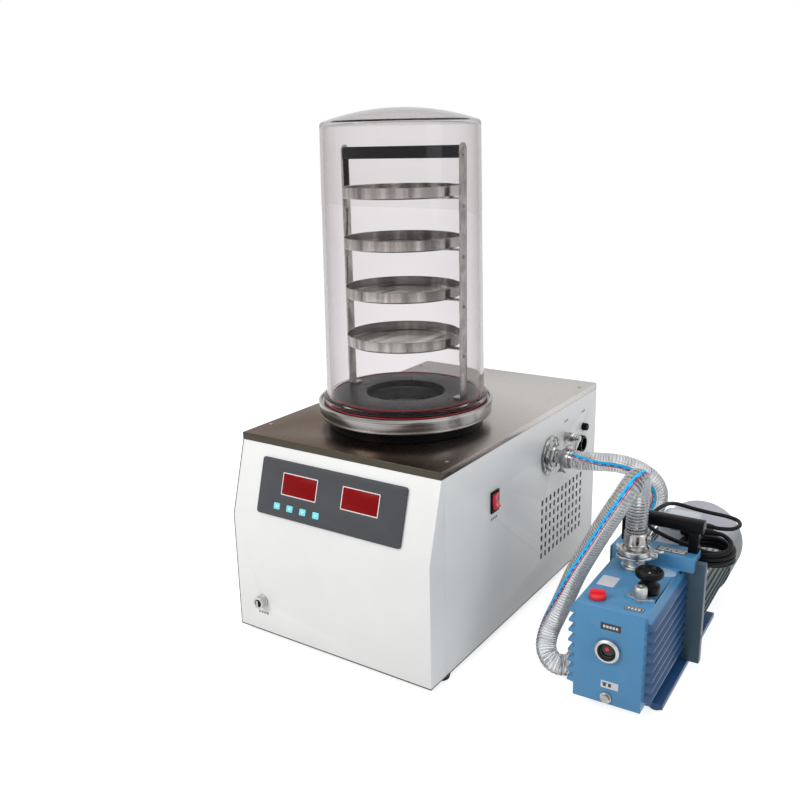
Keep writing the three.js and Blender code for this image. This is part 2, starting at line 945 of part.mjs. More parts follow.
function bellJar() {
  const low = sealTop + gap;
  const shoulder = low + jar.straight;
  const crown = shoulder + jar.crown;
  const r = jar.shoulderRadius;
  const w = jar.wall;
  return turned([
    [jar.footRadius, low],
    [jar.footRadius, low + jar.foot],
    [jar.baseRadius, low + jar.foot + 1.5],
    [r, shoulder],
    [r - 3, shoulder + 6],
    [r - 11, shoulder + 11],
    [r * 0.6, crown - 3],
    [0, crown],
    [0, crown - w],
    [r * 0.6, crown - w - 3],
    [r - w - 9, shoulder + 6],
    [r - w, shoulder - 4],
    [jar.baseRadius - w, low + jar.foot],
    [jar.baseRadius - w, low],
  ], 40);
}

add(tower, "chamber_collar", chamberCollar(), blackRubber);
add(tower, "chamber_ring", chamberRing(), aluminium);
add(tower, "jar_seal", tube(chamber.sealInner, chamber.sealOuter, ringTop + gap, sealTop, 40), redSilicone);
add(tower, "bell_jar", bellJar(), clear);
add(tower, "rack_base", tube(rack.baseBore, rack.baseRadius, ringTop + gap, rackBaseTop, 40), blackPlastic);

// Two flat posts and the four straps bolted across them, each carrying one tray.
const postInner = rack.postOuter - rack.post;
const postLow = rackBaseTop + gap;
const postTop = postLow + rack.postHeight;
const strapTops = [0, 1, 2, 3].map((i) => rackBaseTop + rack.firstStrap + i * rack.strapPitch);

function trayRack() {
  const half = rack.postWidth / 2;
  const rounded = new THREE.Shape();
  rounded.moveTo(-half, postLow);
  rounded.lineTo(half, postLow);
  rounded.lineTo(half, postTop - half);
  rounded.absarc(0, postTop - half, half, 0, Math.PI);
  const options = { depth: rack.post, bevelEnabled: false, curveSegments: 5 };
  const strip = new THREE.ExtrudeGeometry(rounded, options)
    .applyMatrix4(cyclicAxes);
  const pieces = [];
  for (const side of [-1, 1]) {
    pieces.push(strip.clone().translate(side < 0 ? -rack.postOuter : postInner, 0, 0));
    const footX0 = side < 0 ? -postInner - 1 : postInner - rack.foot;
    pieces.push(block([footX0, -half, postLow], [footX0 + rack.foot + 1, half, postLow + rack.post]));
  }
  const strapHalf = rack.strapWidth / 2;
  for (const top of strapTops) {
    const outline = [
      [-postInner - 1, top - rack.strapDrop],
      [-postInner + rack.strap, top - rack.strapDrop],
      [-postInner + rack.strap, top - rack.strap],
      [postInner - rack.strap, top - rack.strap],
      [postInner - rack.strap, top - rack.strapDrop],
      [postInner + 1, top - rack.strapDrop],
      [postInner + 1, top],
      [-postInner - 1, top],
    ];
    pieces.push(prismY(outline, -strapHalf, strapHalf));
  }
  return join(...pieces);
}

// Black bar across the top of the posts, its ends turned back against them.
function rackTopBar() {
  const end = postInner - gap;
  const back = rack.barReturn / 2;
  const high = postTop - rack.barBelowTop;
  const outline = [
    [-end, -back],
    [end, -back],
    [end, back],
    [end - rack.bar, back],
    [end - rack.bar, -back + rack.bar],
    [-end + rack.bar, -back + rack.bar],
    [-end + rack.bar, back],
    [-end, back],
  ];
  return prism(outline, high - rack.barHeight, high);
}

function dryingTray() {
  const { radius, height, wall } = tray;
  return turned([
    [0, 0],
    [radius - 2, 0],
    [radius, 2],
    [radius, height],
    [radius - wall, height],
    [radius - wall, wall],
    [0, wall],
  ], 32);
}

add(tower, "tray_rack", trayRack(), stainless);
add(tower, "rack_top_bar", rackTopBar(), blackPlastic);
strapTops.forEach((top, i) => add(tower, `tray_${i + 1}`, dryingTray(), stainless, [0, 0, top + gap]));

// ---------------------------------------------------------------- vacuum pump

const pumpGroup = new THREE.Group();
pumpGroup.position.set(pump.x, pump.y, 0);
pumpGroup.rotation.z = rad(pump.yaw);
machine.add(pumpGroup);

const boxMiddle = pump.boxWidth / 2;
const boxBottom = pump.boxBottom;
const onBase = pump.baseTop + gap;
const finEdge = boxMiddle + pump.finReach;

function pumpBase() {
  const plate = block(
    [pump.baseLeft, pump.baseFront, pump.baseTop - pump.basePlate],
    [pump.baseRight, pump.baseRear, pump.baseTop],
  );
  const inset = pump.footRadius + 2;
  const feet = [];
  for (const u of [pump.baseLeft + inset, pump.baseRight - inset]) {
    for (const v of [pump.baseFront + inset, pump.baseRear - inset]) {
      feet.push(disc(pump.footRadius, 0, pump.baseTop - 1, 16).translate(u, v, 0));
    }
  }
  return join(plate, ...feet);
}

// Finned oil box with the pump head on its back end and the two-eared ballast flange on top.
function oilBox() {
  const rightSide = [[boxMiddle, pump.boxTop]];
  for (let i = 0; i < pump.fins; i += 1) {
    const tip = pump.finFirst - i * pump.finPitch;
    const crest = i === 0 ? pump.boxTop - 3 : tip + pump.finRoot - 4;
    const under = tip - pump.finTip;
    rightSide.push([boxMiddle, crest], [finEdge, tip], [finEdge, under], [boxMiddle, under - 2]);
  }
  rightSide.push([boxMiddle, boxBottom]);
  const leftSide = rightSide.map(([u, z]) => [-u, z]).reverse();
  const finned = prismY([...rightSide.slice(0, -1), [boxMiddle, boxBottom], ...leftSide], 7, pump.boxDepth)
    .translate(boxMiddle, 0, 0);
  const face = block([0, 0, boxBottom], [pump.boxWidth, 8, pump.boxTop]);
  const saddle = block(
    [pump.saddleInset, pump.saddleFront, onBase],
    [pump.boxWidth - pump.saddleInset, pump.boxDepth, boxBottom + 1],
  );
  const crown = block([head.left, head.front, pump.boxTop - 2], [head.right, pump.boxDepth, head.height]);
  const overhang = block(
    [head.left, pump.boxDepth - 1, stand.top + gap],
    [head.right, head.rear, head.height],
  );
  const earAt = ballast.earReach * 0.7;
  const plateTop = pump.boxTop + ballast.plate;
  const ear = (side) =>
    disc(ballast.earRadius, pump.boxTop - 1, plateTop, 16).translate(ballast.u + side * earAt, ballast.v, 0);
  const bridge = block(
    [ballast.u - earAt, ballast.v - ballast.earRadius, pump.boxTop - 1],
    [ballast.u + earAt, ballast.v + ballast.earRadius, plateTop],
  );
  const sightHole = alongFront(disc(sight.glassRadius, -9, 1, 24)).translate(boxMiddle, 0, sight.z);
  const fillerBottom = pump.boxTop - filler.spigot - 2;
  const fillerHole = disc(filler.spigotRadius + slideGap, fillerBottom, pump.boxTop + 1, 20)
    .translate(filler.u, filler.v, 0);
  const ballastHole = disc(ballast.stemRadius + slideGap, pump.boxTop - 8, plateTop + 1, 20)
    .translate(ballast.u, ballast.v, 0);
  return geometryOf(
    [face, saddle, crown, overhang, ear(-1), ear(1), bridge]
      .reduce((sum, next) => sum.add(solid(next)), solid(finned))
      .subtract(solid(sightHole))
      .subtract(solid(fillerHole))
      .subtract(solid(ballastHole)),
  );
}

add(pumpGroup, "pump_base", pumpBase(), pumpBlue);
add(pumpGroup, "oil_box", oilBox(), pumpBlue);

// Oil sight glass: a bright ring with the window set in it.
function sightGlass() {
  const spigot = sight.glassRadius - gap;
  return alongFront(
    turned([
      [0, -7],
      [spigot, -7],
      [spigot, gap],
      [sight.radius, gap],
      [sight.radius, gap + sight.proud - 2],
      [sight.radius - 2, gap + sight.proud],
      [sight.glassRadius, gap + sight.proud],
      [sight.glassRadius, 3],
      [0, 3],
    ], 28),
  );
}

function drainPlug() {
  const collar = disc(plug.radius, gap, gap + 2, 20);
  const hex = disc(plug.radius - 1.5, gap + 1, gap + plug.proud, 6);
  return alongFront(join(collar, hex));
}

// Oil filler cap with a flat grip across its top and a spigot in the box.
function fillerCap() {
  const cap = turned([
    [0, -filler.spigot],
    [filler.spigotRadius, -filler.spigot],
    [filler.spigotRadius, gap],
    [filler.radius, gap],
    [filler.radius, gap + filler.collar],
    [filler.radius - 3.5, gap + filler.collar + 1.5],
    [filler.radius - 3.5, filler.height - 3],
    [0, filler.height - 3],
  ], 20);
  const grip = block([-filler.radius + 4, -2.5, filler.height - 4], [filler.radius - 4, 2.5, filler.height]);
  return join(cap, grip);
}

// Exhaust filter: waisted body under a wide mushroom cap.
function exhaustCap() {
  const low = pump.boxTop + gap;
  const capLow = exhaust.top - exhaust.cap;
  return turned([
    [0, low],
    [exhaust.bodyRadius, low],
    [exhaust.bodyRadius + 2, low + exhaust.body * 0.5],
    [exhaust.neckRadius, low + exhaust.body],
    [exhaust.neckRadius, capLow - 3],
    [exhaust.capRadius - 3, capLow],
    [exhaust.capRadius, capLow + 4],
    [exhaust.capRadius - 2, exhaust.top],
    [exhaust.capRadius - 7, exhaust.top - 1.5],
    [0, exhaust.top - 2],
  ], 24);
}

function ballastKnob() {
  return turned([
    [0, -6],
    [ballast.stemRadius, -6],
    [ballast.stemRadius, gap],
    [ballast.knobRadius, gap],
    [ballast.knobRadius, ballast.knob - 1.5],
    [ballast.knobRadius - 1.5, ballast.knob],
    [0, ballast.knob],
  ], 20);
}

// Suction pipe: foot, tube, clamped flange joint and the coupling for the hose.
const suctionTop = suction.flangeHeight + suction.joint + 6 + hose.coupling;

function suctionPipe() {
  const joint = suction.flangeHeight;
  return turned([
    [0, pump.boxTop + gap],
    [suction.footRadius, pump.boxTop + gap],
    [suction.footRadius, pump.boxTop + gap + suction.foot],
    [suction.tubeRadius, pump.boxTop + gap + suction.foot],
    [suction.tubeRadius, joint],
    [suction.flangeRadius, joint + 2],
    [suction.flangeRadius, joint + suction.joint - 2],
    [suction.tubeRadius, joint + suction.joint],
    [suction.tubeRadius, joint + suction.joint + 6],
    [hose.radius, joint + suction.joint + 6],
    [hose.radius, suctionTop],
    [0, suctionTop],
  ], 28);
}

// Two-half flange clamp with a hinge ear and a wing-screw ear.
function flangeClamp() {
  const inner = suction.flangeRadius + gap;
  const outer = inner + 5;
  const band = tube(inner, outer, 0, suction.joint, 28);
  const wing = block([outer - 1.5, -5, 2], [outer + 12, 5, suction.joint - 2]);
  const hinge = disc(4.5, 0, suction.joint, 12).translate(-outer - 2, 0, 0);
  return join(band, wing, hinge);
}

add(pumpGroup, "sight_glass", sightGlass(), brightSteel, [boxMiddle, 0, sight.z]);
add(pumpGroup, "drain_plug", drainPlug(), brightSteel, [boxMiddle, 0, plug.z]);
add(pumpGroup, "filler_cap", fillerCap().rotateZ(rad(20)), redPlastic, [filler.u, filler.v, pump.boxTop]);
add(pumpGroup, "exhaust_cap", exhaustCap(), blackPlastic, [exhaust.u, exhaust.v, 0]);
const ballastPlace = [ballast.u, ballast.v, pump.boxTop + ballast.plate];
add(pumpGroup, "ballast_knob", ballastKnob(), brightSteel, ballastPlace);
add(pumpGroup, "suction_pipe", suctionPipe(), stainless, [suction.u, suction.v, 0]);
add(pumpGroup, "flange_clamp", flangeClamp(), aluminium, [suction.u, suction.v, suction.flangeHeight]);

// Upright plate between the oil box and the motor, and the carrying handle above it.
function pumpStand() {
  return block([stand.left, stand.front, onBase], [stand.right, stand.front + stand.thickness, stand.top]);
}

function pumpHandle() {
  const { left, right, middle, legWidth, legInset } = handle;
  const barLow = handle.top - handle.barHeight;
  const half = handle.legDepth / 2;
  const leg = (u) => block([u, middle - half, head.height + gap], [u + legWidth, middle + half, barLow + 2]);
  const bar = roundedPlate(handle.barDepth, handle.barHeight, 10, left, right)
    .applyMatrix4(cyclicAxes)
    .translate(0, middle, barLow + handle.barHeight / 2);
  return join(bar, leg(left + legInset), leg(right - legInset - legWidth));
}

add(pumpGroup, "pump_stand", pumpStand(), standTeal);
add(pumpGroup, "pump_handle", pumpHandle(), blackPlastic);

// Motor: round frame on its foot, flat seat for the terminal box, and a bore for the shaft end.
const motorFront = stand.front + stand.thickness + gap;

function motorFrame() {
  const { u, z, radius } = motor;
  const frame = alongBack(disc(radius, motorFront, motor.rear, 32)).translate(u, 0, z);
  const foot = block([u - motor.footHalf, motor.footFront, onBase], [u + motor.footHalf, motor.footRear, z]);
  const seat = block(
    [terminal.left + 6, terminal.front + 4, z],
    [terminal.right - 6, terminal.rear - 4, motor.seatTop],
  );
  const boreRadius = motorFan.shaftRadius + slideGap;
  const bore = alongBack(disc(boreRadius, motor.rear - motorFan.shaftIn - 1, motor.rear + 1, 20))
    .translate(u, 0, z);
  return geometryOf(solid(frame).add(solid(foot)).add(solid(seat)).subtract(solid(bore)));
}

// Fan cowl: a drawn cup over the back of the motor, open in the middle of its end.
function fanCowl() {
  const r = cowl.radius;
  const w = cowl.wall;
  const bodyGap = motor.radius + gap;
  return alongBack(
    turned([
      [bodyGap, cowl.front],
      [r, cowl.front],
      [r, cowl.rear - cowl.dome],
      [r * 0.93, cowl.rear - cowl.dome * 0.3],
      [r * 0.75, cowl.rear],
      [cowl.airHole, cowl.rear],
      [cowl.airHole, cowl.rear - w],
      [r * 0.74, cowl.rear - w],
      [r * 0.93 - w, cowl.rear - cowl.dome * 0.3 - w],
      [r - w, cowl.rear - cowl.dome - w],
      [r - w, motor.rear + 3],
      [bodyGap, motor.rear + 1],
    ], 32),
  );
}

function motorFanWheel() {
  const length = motorFan.rear - motorFan.front;
  const wheel = fanWheel(motorFan.radius, motorFan.hubRadius, length, motorFan.blades, motorFan.blade, 90);
  const shaftLength = motorFan.front - motor.rear + motorFan.shaftIn;
  return alongBack(join(wheel, disc(motorFan.shaftRadius, -shaftLength, 1, 16)));
}

// Terminal box with a sloped-edge lid and the lead's tapered gland on its right side.
const glandHeight = (motor.seatTop + terminal.top) / 2;

function terminalBox() {
  const low = motor.seatTop + gap;
  const outline = [
    [terminal.left, low],
    [terminal.right, low],
    [terminal.right, terminal.top - terminal.edge],
    [terminal.right - terminal.edge, terminal.top],
    [terminal.left + terminal.edge, terminal.top],
    [terminal.left, terminal.top - terminal.edge],
  ];
  const box = prismY(outline, terminal.front, terminal.rear);
  const gland = alongX(turned([
    [0, -1],
    [terminal.glandRadius, -1],
    [terminal.glandRadius, 6],
    [lead.radius + 1, terminal.glandLength],
    [0, terminal.glandLength],
  ], 12)).translate(terminal.right, terminal.glandV, glandHeight);
  return join(box, gland);
}

add(pumpGroup, "motor_frame", motorFrame(), motorGrey);
add(pumpGroup, "fan_cowl", fanCowl().translate(motor.u, 0, motor.z), motorGrey);
add(pumpGroup, "motor_fan", motorFanWheel(), blackPlastic, [motor.u, motorFan.front, motor.z]);
add(pumpGroup, "terminal_box", terminalBox(), motorGrey);

// ---------------------------------------------------------------- hose and lead

// Vacuum hose: out of the cabinet's port, down behind the pump to the bench, and up in a loop to the pump.
const pumpToMachine = (u, v, z) => new THREE.Vector3(u, v, z).applyMatrix4(pumpMatrix).toArray();
pumpGroup.updateMatrixWorld(true);
const pumpMatrix = pumpGroup.matrixWorld.clone();

const portEnd = [halfWidth + portReach + gap, port.y, port.z];
const suctionEnd = pumpToMachine(suction.u, suction.v, suctionTop + gap);

const fromPort = (x, y, z) => [portEnd[0] + x, portEnd[1] + y, portEnd[2] + z];
const byPump = (x, y, z) => [pump.x + x, pump.y + y, z];
const fromSuction = (x, y, z) => [suctionEnd[0] + x, suctionEnd[1] + y, suctionEnd[2] + z];
const hoseOnBench = hose.radius + 0.5;

const hoseRoute = [
  portEnd,
  fromPort(14, 0, 0),
  fromPort(46, 3, 3),
  fromPort(80, 12, 3),
  fromPort(111, 25, -7),
  fromPort(133, 37, -25),
  fromPort(143, 47, -48),
  fromPort(142, 53, -72),
  byPump(-13, 384, 180),
  byPump(-28, 384, 150),
  byPump(-42, 384, 115),
  byPump(-50, 377, 78),
  byPump(-55, 355, 44),
  byPump(-57, 319, 24),
  byPump(-57, 274, hoseOnBench),
  byPump(-54, 224, hoseOnBench),
  byPump(-47, 179, hoseOnBench),
  byPump(-37, 100, hoseOnBench),
  byPump(-38, 83, hoseOnBench),
  byPump(-43, 71, 20),
  byPump(-52.5, 64, 22.5),
  byPump(-64, 63, 27),
  byPump(-73.5, 67, 35),
  byPump(-78.5, 73, 46),
  byPump(-79, 80, 60),
  byPump(-75, 87, 79),
  byPump(-60, 94, 120),
  byPump(-41, 99, 174),
  byPump(-19, 101, 222),
  byPump(4, 101, 268),
  byPump(22, 101, 302),
  byPump(31, 104, 320),
  byPump(37, 112, 333),
  byPump(40, 124, 339),
  byPump(40.5, 136, 337.5),
  byPump(39, 147, 329),
  byPump(36.5, 152.5, 314),
  fromSuction(0, 0, 46),
  fromSuction(0, 0, 14),
  suctionEnd,
];

add(machine, "vacuum_hose", sweep(hoseRoute, hose.radius, hose.sides, 96), clear);

// Pump lead: out of the gland, once round the terminal box and along behind the handle to its own coil.
const glandEnd = [terminal.right + terminal.glandLength + gap, terminal.glandV, glandHeight];
const coilRounding = lead.radius * 0.7;
const coilEdge = lead.coilU - lead.coilMeanRadius - lead.coilHalfWidth + coilRounding - motor.u;
const coilZ = motor.z + Math.sqrt(motor.radius ** 2 - coilEdge ** 2) + gap + lead.coilHalfHeight;
const coilFront = lead.coilV - lead.coilMeanRadius;
const byBox = (u, v, z) => [terminal.left + u, terminal.rear + v, terminal.top + z];

const leadRoute = [
  glandEnd,
  [glandEnd[0] + 9, glandEnd[1], glandHeight],
  byBox(115, -7, -18),
  byBox(123, 13, -17.5),
  byBox(115, 33, -17),
  byBox(95, 41, -16.5),
  byBox(64, 43, -16),
  byBox(35, 41, -13),
  byBox(13, 32, -6.5),
  byBox(2, 13, 0),
  byBox(-2, -14, 5.5),
  byBox(-6, -42, 7),
  byBox(-10, -70, 5),
  byBox(-6, -98, 3),
  byBox(9, -119, 3),
  byBox(31, -130, 1),
  byBox(53, -135, -2.5),
  [lead.coilU - 17, coilFront + 2, coilZ + lead.coilHalfHeight + lead.radius + 1],
];

function leadCoil() {
  const inner = lead.coilMeanRadius - lead.coilHalfWidth;
  const outer = lead.coilMeanRadius + lead.coilHalfWidth;
  const h = lead.coilHalfHeight;
  return turned([
    [inner, -h + coilRounding],
    [inner + coilRounding, -h],
    [outer - coilRounding, -h],
    [outer, -h + coilRounding],
    [outer, h - coilRounding],
    [outer - coilRounding, h],
    [inner + coilRounding, h],
    [inner, h - coilRounding],
  ], 28);
}

// Moulded plug: body, three blades, and the tapered relief at the lead's end.
function leadPlug() {
  const half = plugTop.thickness / 2;
  const body = roundedPlate(plugTop.length, plugTop.width, 7, -half, half);
  const edge = plugTop.length / 2;
  const relief = alongX(turned([
    [0, edge - 2],
    [6.5, edge - 2],
    [lead.radius + 0.5, edge + plugTop.relief],
    [0, edge + plugTop.relief],
  ], 12));
  const blade = (y, z) => block([-edge - plugTop.pin, y - 3, z - 0.9], [-edge + 1, y + 3, z + 0.9]);
  return join(body, relief, blade(-7, -4), blade(7, -4), blade(0, 5));
}

const plugZ = coilZ + lead.coilHalfHeight + gap + plugTop.thickness / 2;
add(pumpGroup, "pump_lead", sweep(leadRoute, lead.radius, 8, 40), blackRubber);
add(pumpGroup, "lead_coil", leadCoil(), blackRubber, [lead.coilU, lead.coilV, coilZ]);
add(pumpGroup, "pump_plug", leadPlug(), blackRubber, [plugTop.u, plugTop.v, plugZ]);

// ---------------------------------------------------------------- origin

// The origin is the middle of the underside of everything but the free hose and lead.
const freeCords = ["vacuum_hose", "pump_lead", "lead_coil", "pump_plug"];
const whole = new THREE.Box3();
machine.updateMatrixWorld(true);
machine.traverse((object) => {
  if (object.isMesh && !freeCords.includes(object.name)) {
    whole.expandByObject(object, true);
  }
});
const middle = whole.getCenter(new THREE.Vector3());
machine.position.set(-middle.x, -middle.y, -whole.min.z);
machine.updateMatrixWorld(true);

export default machine;
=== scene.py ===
import math

import bmesh
import bpy
from mathutils import Matrix, Vector


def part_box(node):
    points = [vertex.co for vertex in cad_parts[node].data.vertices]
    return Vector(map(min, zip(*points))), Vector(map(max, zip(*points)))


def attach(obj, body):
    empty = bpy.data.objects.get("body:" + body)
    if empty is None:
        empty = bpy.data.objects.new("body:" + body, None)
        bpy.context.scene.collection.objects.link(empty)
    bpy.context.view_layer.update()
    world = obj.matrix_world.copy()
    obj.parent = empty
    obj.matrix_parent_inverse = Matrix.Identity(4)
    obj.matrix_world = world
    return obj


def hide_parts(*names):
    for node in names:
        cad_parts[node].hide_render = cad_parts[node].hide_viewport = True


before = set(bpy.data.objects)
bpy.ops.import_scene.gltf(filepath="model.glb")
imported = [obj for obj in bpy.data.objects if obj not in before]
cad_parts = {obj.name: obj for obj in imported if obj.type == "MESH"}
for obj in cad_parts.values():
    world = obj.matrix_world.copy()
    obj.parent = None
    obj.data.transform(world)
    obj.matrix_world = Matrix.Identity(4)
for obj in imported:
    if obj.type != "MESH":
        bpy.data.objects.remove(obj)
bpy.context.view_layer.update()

# ---------------------------------------------------------------------------
# Viewing place: a camera a little above the machine, in front and to its right.
# The cabinet's front edge and middle line give the places of everything else.
shell_low, shell_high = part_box("cabinet_shell")
cabinet_place = Vector(((shell_low.x + shell_high.x) / 2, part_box("front_cover")[0].y, 0))


def cabinet_point(x, y, z):
    """A point given in millimetres from the middle of the cabinet's front edge on the bench."""
    return cabinet_place + Vector((x, y, z)) / 1000


def upright(azimuth, elevation, roll):
    """The turn of a camera that looks at the machine from these angles, in degrees."""
    a, e, r = (math.radians(angle) for angle in (azimuth, elevation, roll))
    back = Vector((math.sin(a) * math.cos(e), -math.cos(a) * math.cos(e), math.sin(e)))
    right = (-back).cross(Vector((0, 0, 1))).normalized()
    up = right.cross(-back)
    leaning_right = right * math.cos(r) + up * math.sin(r)
    leaning_up = up * math.cos(r) - right * math.sin(r)
    return Matrix((leaning_right, leaning_up, back)).transposed().to_4x4()


def shown(name, data):
    """A new object in the scene."""
    item = bpy.data.objects.new(name, data)
    bpy.context.scene.collection.objects.link(item)
    return item


camera_data = bpy.data.cameras.new("camera")
camera_data.lens = 40.8
camera_data.sensor_width = 36
camera_data.clip_end = 50
camera = shown("camera", camera_data)
camera.matrix_world = Matrix.Translation(cabinet_point(871, -1057, 843)) @ upright(34.1, 15.8, -1.27)
bpy.context.scene.camera = camera
bpy.context.scene.view_settings.view_transform = "Standard"


# ---------------------------------------------------------------------------
# Studio: a pale seamless floor that shows white and keeps a soft shadow, a plain
# white surround, one large soft lamp to the front left and two weaker ones.
def wired(owner, *links):
    """Joins sockets given as (node, output, node, input)."""
    for source, output, target, socket in links:
        owner.node_tree.links.new(source.outputs[output], target.inputs[socket])


def new_node(owner, kind, values=(), operation=None):
    """A node of this kind in a material or the surround, its plain values given by socket."""
    node = owner.node_tree.nodes.new("ShaderNode" + kind)
    if operation:
        node.operation = operation
    for socket, value in dict(values).items():
        node.inputs[socket].default_value = value
    return node


def emptied(owner):
    owner.use_nodes = True
    owner.node_tree.nodes.clear()
    return owner


def shown_white(owner, output, lit, white):
    """Shows the white shader to the camera, to mirrors and through glass, and the lit one to
    everything else."""
    path = new_node(owner, "LightPath")
    mirrored = new_node(owner, "Math", operation="MAXIMUM")
    shows = new_node(owner, "Math", operation="MAXIMUM")
    choose = new_node(owner, "MixShader")
    wired(
        owner,
        (path, "Is Glossy Ray", mirrored, 0),
        (path, "Is Transmission Ray", mirrored, 1),
        (path, "Is Camera Ray", shows, 0),
        (mirrored, 0, shows, 1),
        (shows, 0, choose, "Fac"),
        (lit, 0, choose, 1),
        (white, 0, choose, 2),
        (choose, 0, output, "Surface"),
    )


paper = emptied(bpy.data.materials.new("floor_paper"))
paper_lit = new_node(paper, "BsdfDiffuse", {"Color": (0.55, 0.55, 0.55, 1)})
paper_glow = new_node(paper, "Emission", {"Strength": 0.78})
paper_seen = new_node(paper, "AddShader")
wired(paper, (paper_lit, 0, paper_seen, 0), (paper_glow, 0, paper_seen, 1))
shown_white(paper, new_node(paper, "OutputMaterial"), paper_lit, paper_seen)
floor_mesh = bmesh.new()
bmesh.ops.create_grid(floor_mesh, x_segments=1, y_segments=1, size=9)
floor_data = bpy.data.meshes.new("floor")
floor_mesh.to_mesh(floor_data)
floor_mesh.free()
floor_data.materials.append(paper)
floor = shown("floor", floor_data)

world = emptied(bpy.data.worlds.new("surround"))
bpy.context.scene.world = world
room_light = new_node(world, "Background", {"Color": (0.93, 0.95, 1.0, 1), "Strength": 0.6})
white_wall = new_node(world, "Background", {"Color": (1, 1, 1, 1), "Strength": 1.0})
shown_white(world, new_node(world, "OutputWorld"), room_light, white_wall)


def soft_lamp(name, place, target, size, power):
    data = bpy.data.lights.new(name, "AREA")
    data.shape = "DISK"
    data.size = size
    data.energy = power
    lamp = shown(name, data)
    lamp.location = place
    lamp.rotation_mode = "QUATERNION"
    lamp.rotation_quaternion = (Vector(place) - Vector(target)).to_track_quat("Z", "Y")
    lamp.visible_transmission = False
    return data


soft_lamp("key_lamp", (-1.3, -2.6, 2.2), (0, 0, 0.3), 1.6, 52)
soft_lamp("top_lamp", (0.2, 0.2, 3.2), (0, 0, 0.3), 2.2, 20)
cool_lamp = soft_lamp("right_lamp", (3.0, -0.6, 1.3), (0.1, 0, 0.2), 1.4, 15)
cool_lamp.color = (0.86, 0.93, 1.0)


# ---------------------------------------------------------------------------
# Vacuum hose: clear PVC wound round a spring-steel wire, with a blue line, a thin
# orange and a thin red line printed along it. It is pushed on both couplings.
def surface(name, colour, roughness, metallic=0.0, alpha=1.0):
    """A new material and its shader, with the plain values on the shader."""
    material = bpy.data.materials.new(name)
    material.use_nodes = True
    shader = material.node_tree.nodes["Principled BSDF"]
    shader.inputs["Base Color"].default_value = (*colour, 1)
    shader.inputs["Roughness"].default_value = roughness
    shader.inputs["Metallic"].default_value = metallic
    shader.inputs["Alpha"].default_value = alpha
    material.diffuse_color = (*colour, alpha)
    return material, shader


def colour_mix(material, before=None, after=None):
    """A mix from one colour to another; a colour that is left out is joined later."""
    mix = material.node_tree.nodes.new("ShaderNodeMix")
    mix.data_type = "RGBA"
    for socket, colour in ((6, before), (7, after)):
        if colour:
            mix.inputs[socket].default_value = (*colour, 1)
    return mix


def smooth_route(points, spacing):
    """Points close together on the centripetal curve through the given ones."""
    ends = [2 * points[0] - points[1], *points, 2 * points[-1] - points[-2]]
    route = []
    for p0, p1, p2, p3 in zip(ends, ends[1:], ends[2:], ends[3:]):
        d0, d1, d2 = ((b - a).length ** 0.5 for a, b in ((p0, p1), (p1, p2), (p2, p3)))
        slope1 = ((p1 - p0) / d0 - (p2 - p0) / (d0 + d1) + (p2 - p1) / d1) * d1
        slope2 = ((p2 - p1) / d1 - (p3 - p1) / (d1 + d2) + (p3 - p2) / d2) * d1
        count = max(2, round((p2 - p1).length / spacing))
        for i in range(count):
            t = i / count
            bend = 2 * p1 - 2 * p2 + slope1 + slope2
            rise = 3 * (p2 - p1) - 2 * slope1 - slope2
            route.append(p1 + t * (slope1 + t * (rise + t * bend)))
    return [*route, points[-1]]


def lengths_along(route):
    """The distance run at each point of a route."""
    run = [0.0]
    for a, b in zip(route, route[1:]):
        run.append(run[-1] + (b - a).length)
    return run


def sections_along(route, first_side=(0, 0, 1)):
    """At each point of a route two directions across it, which turn no more than they must."""
    side = Vector(first_side)
    for i in range(len(route)):
        ahead = (route[min(i + 1, len(route) - 1)] - route[max(i - 1, 0)]).normalized()
        side = (side - ahead * side.dot(ahead)).normalized()
        yield side.copy(), ahead.cross(side)


def swept(route, radius, sides, turned=lambda run: 0.0, capped=True):
    """A round tube on a route, with a UV map: metres along it, and once round it.
    The radius may be a function of the distance run, and so may the turn of its section."""
    bm = bmesh.new()
    uv = bm.loops.layers.uv.new("along_and_round")
    run = lengths_along(route)
    rings = []
    for place, distance, (side, other) in zip(route, run, sections_along(route)):
        size = radius(distance) if callable(radius) else radius
        corners = [turned(distance) + math.tau * k / sides for k in range(sides)]
        around = [side * math.cos(a) + other * math.sin(a) for a in corners]
        rings.append([bm.verts.new(place + size * way) for way in around])
    for i in range(len(route) - 1):
        for k in range(sides):
            after = (k + 1) % sides
            face = bm.faces.new((rings[i][k], rings[i][after], rings[i + 1][after], rings[i + 1][k]))
            places = ((i, k), (i, k + 1), (i + 1, k + 1), (i + 1, k))
            for loop, (ring, corner) in zip(face.loops, places):
                loop[uv].uv = (run[ring], corner / sides)
    if capped:
        bm.faces.new(rings[0])
        bm.faces.new(rings[-1][::-1])
        bmesh.ops.recalc_face_normals(bm, faces=bm.faces)
    return bm


def gathered(*meshes):
    """Several meshes as one."""
    whole = bmesh.new()
    for bm in meshes:
        data = bpy.data.meshes.new("part")
        bm.to_mesh(data)
        bm.free()
        whole.from_mesh(data)
        bpy.data.meshes.remove(data)
    return whole


def placed(name, bm, material, body="machine", smooth=35, node=None):
    """Makes the mesh one piece of the machine, riding on a body, with its material. It takes
    the place of the plain node, if one is named."""
    mesh = bpy.data.meshes.new(name)
    bm.to_mesh(mesh)
    bm.free()
    mesh.materials.append(material)
    mesh.shade_smooth()
    mesh.set_sharp_from_angle(angle=math.radians(smooth))
    piece = shown(name, mesh)
    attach(piece, body)
    if node:
        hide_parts(node)
    return piece


def rotation(degrees, axis):
    """A turn about one of the axes."""
    return Matrix.Rotation(math.radians(degrees), 4, axis)


pump_x, pump_y = 399, 95.6
pump_matrix = Matrix.Translation(cabinet_point(pump_x, pump_y, 0)) @ rotation(2.1, "Z")


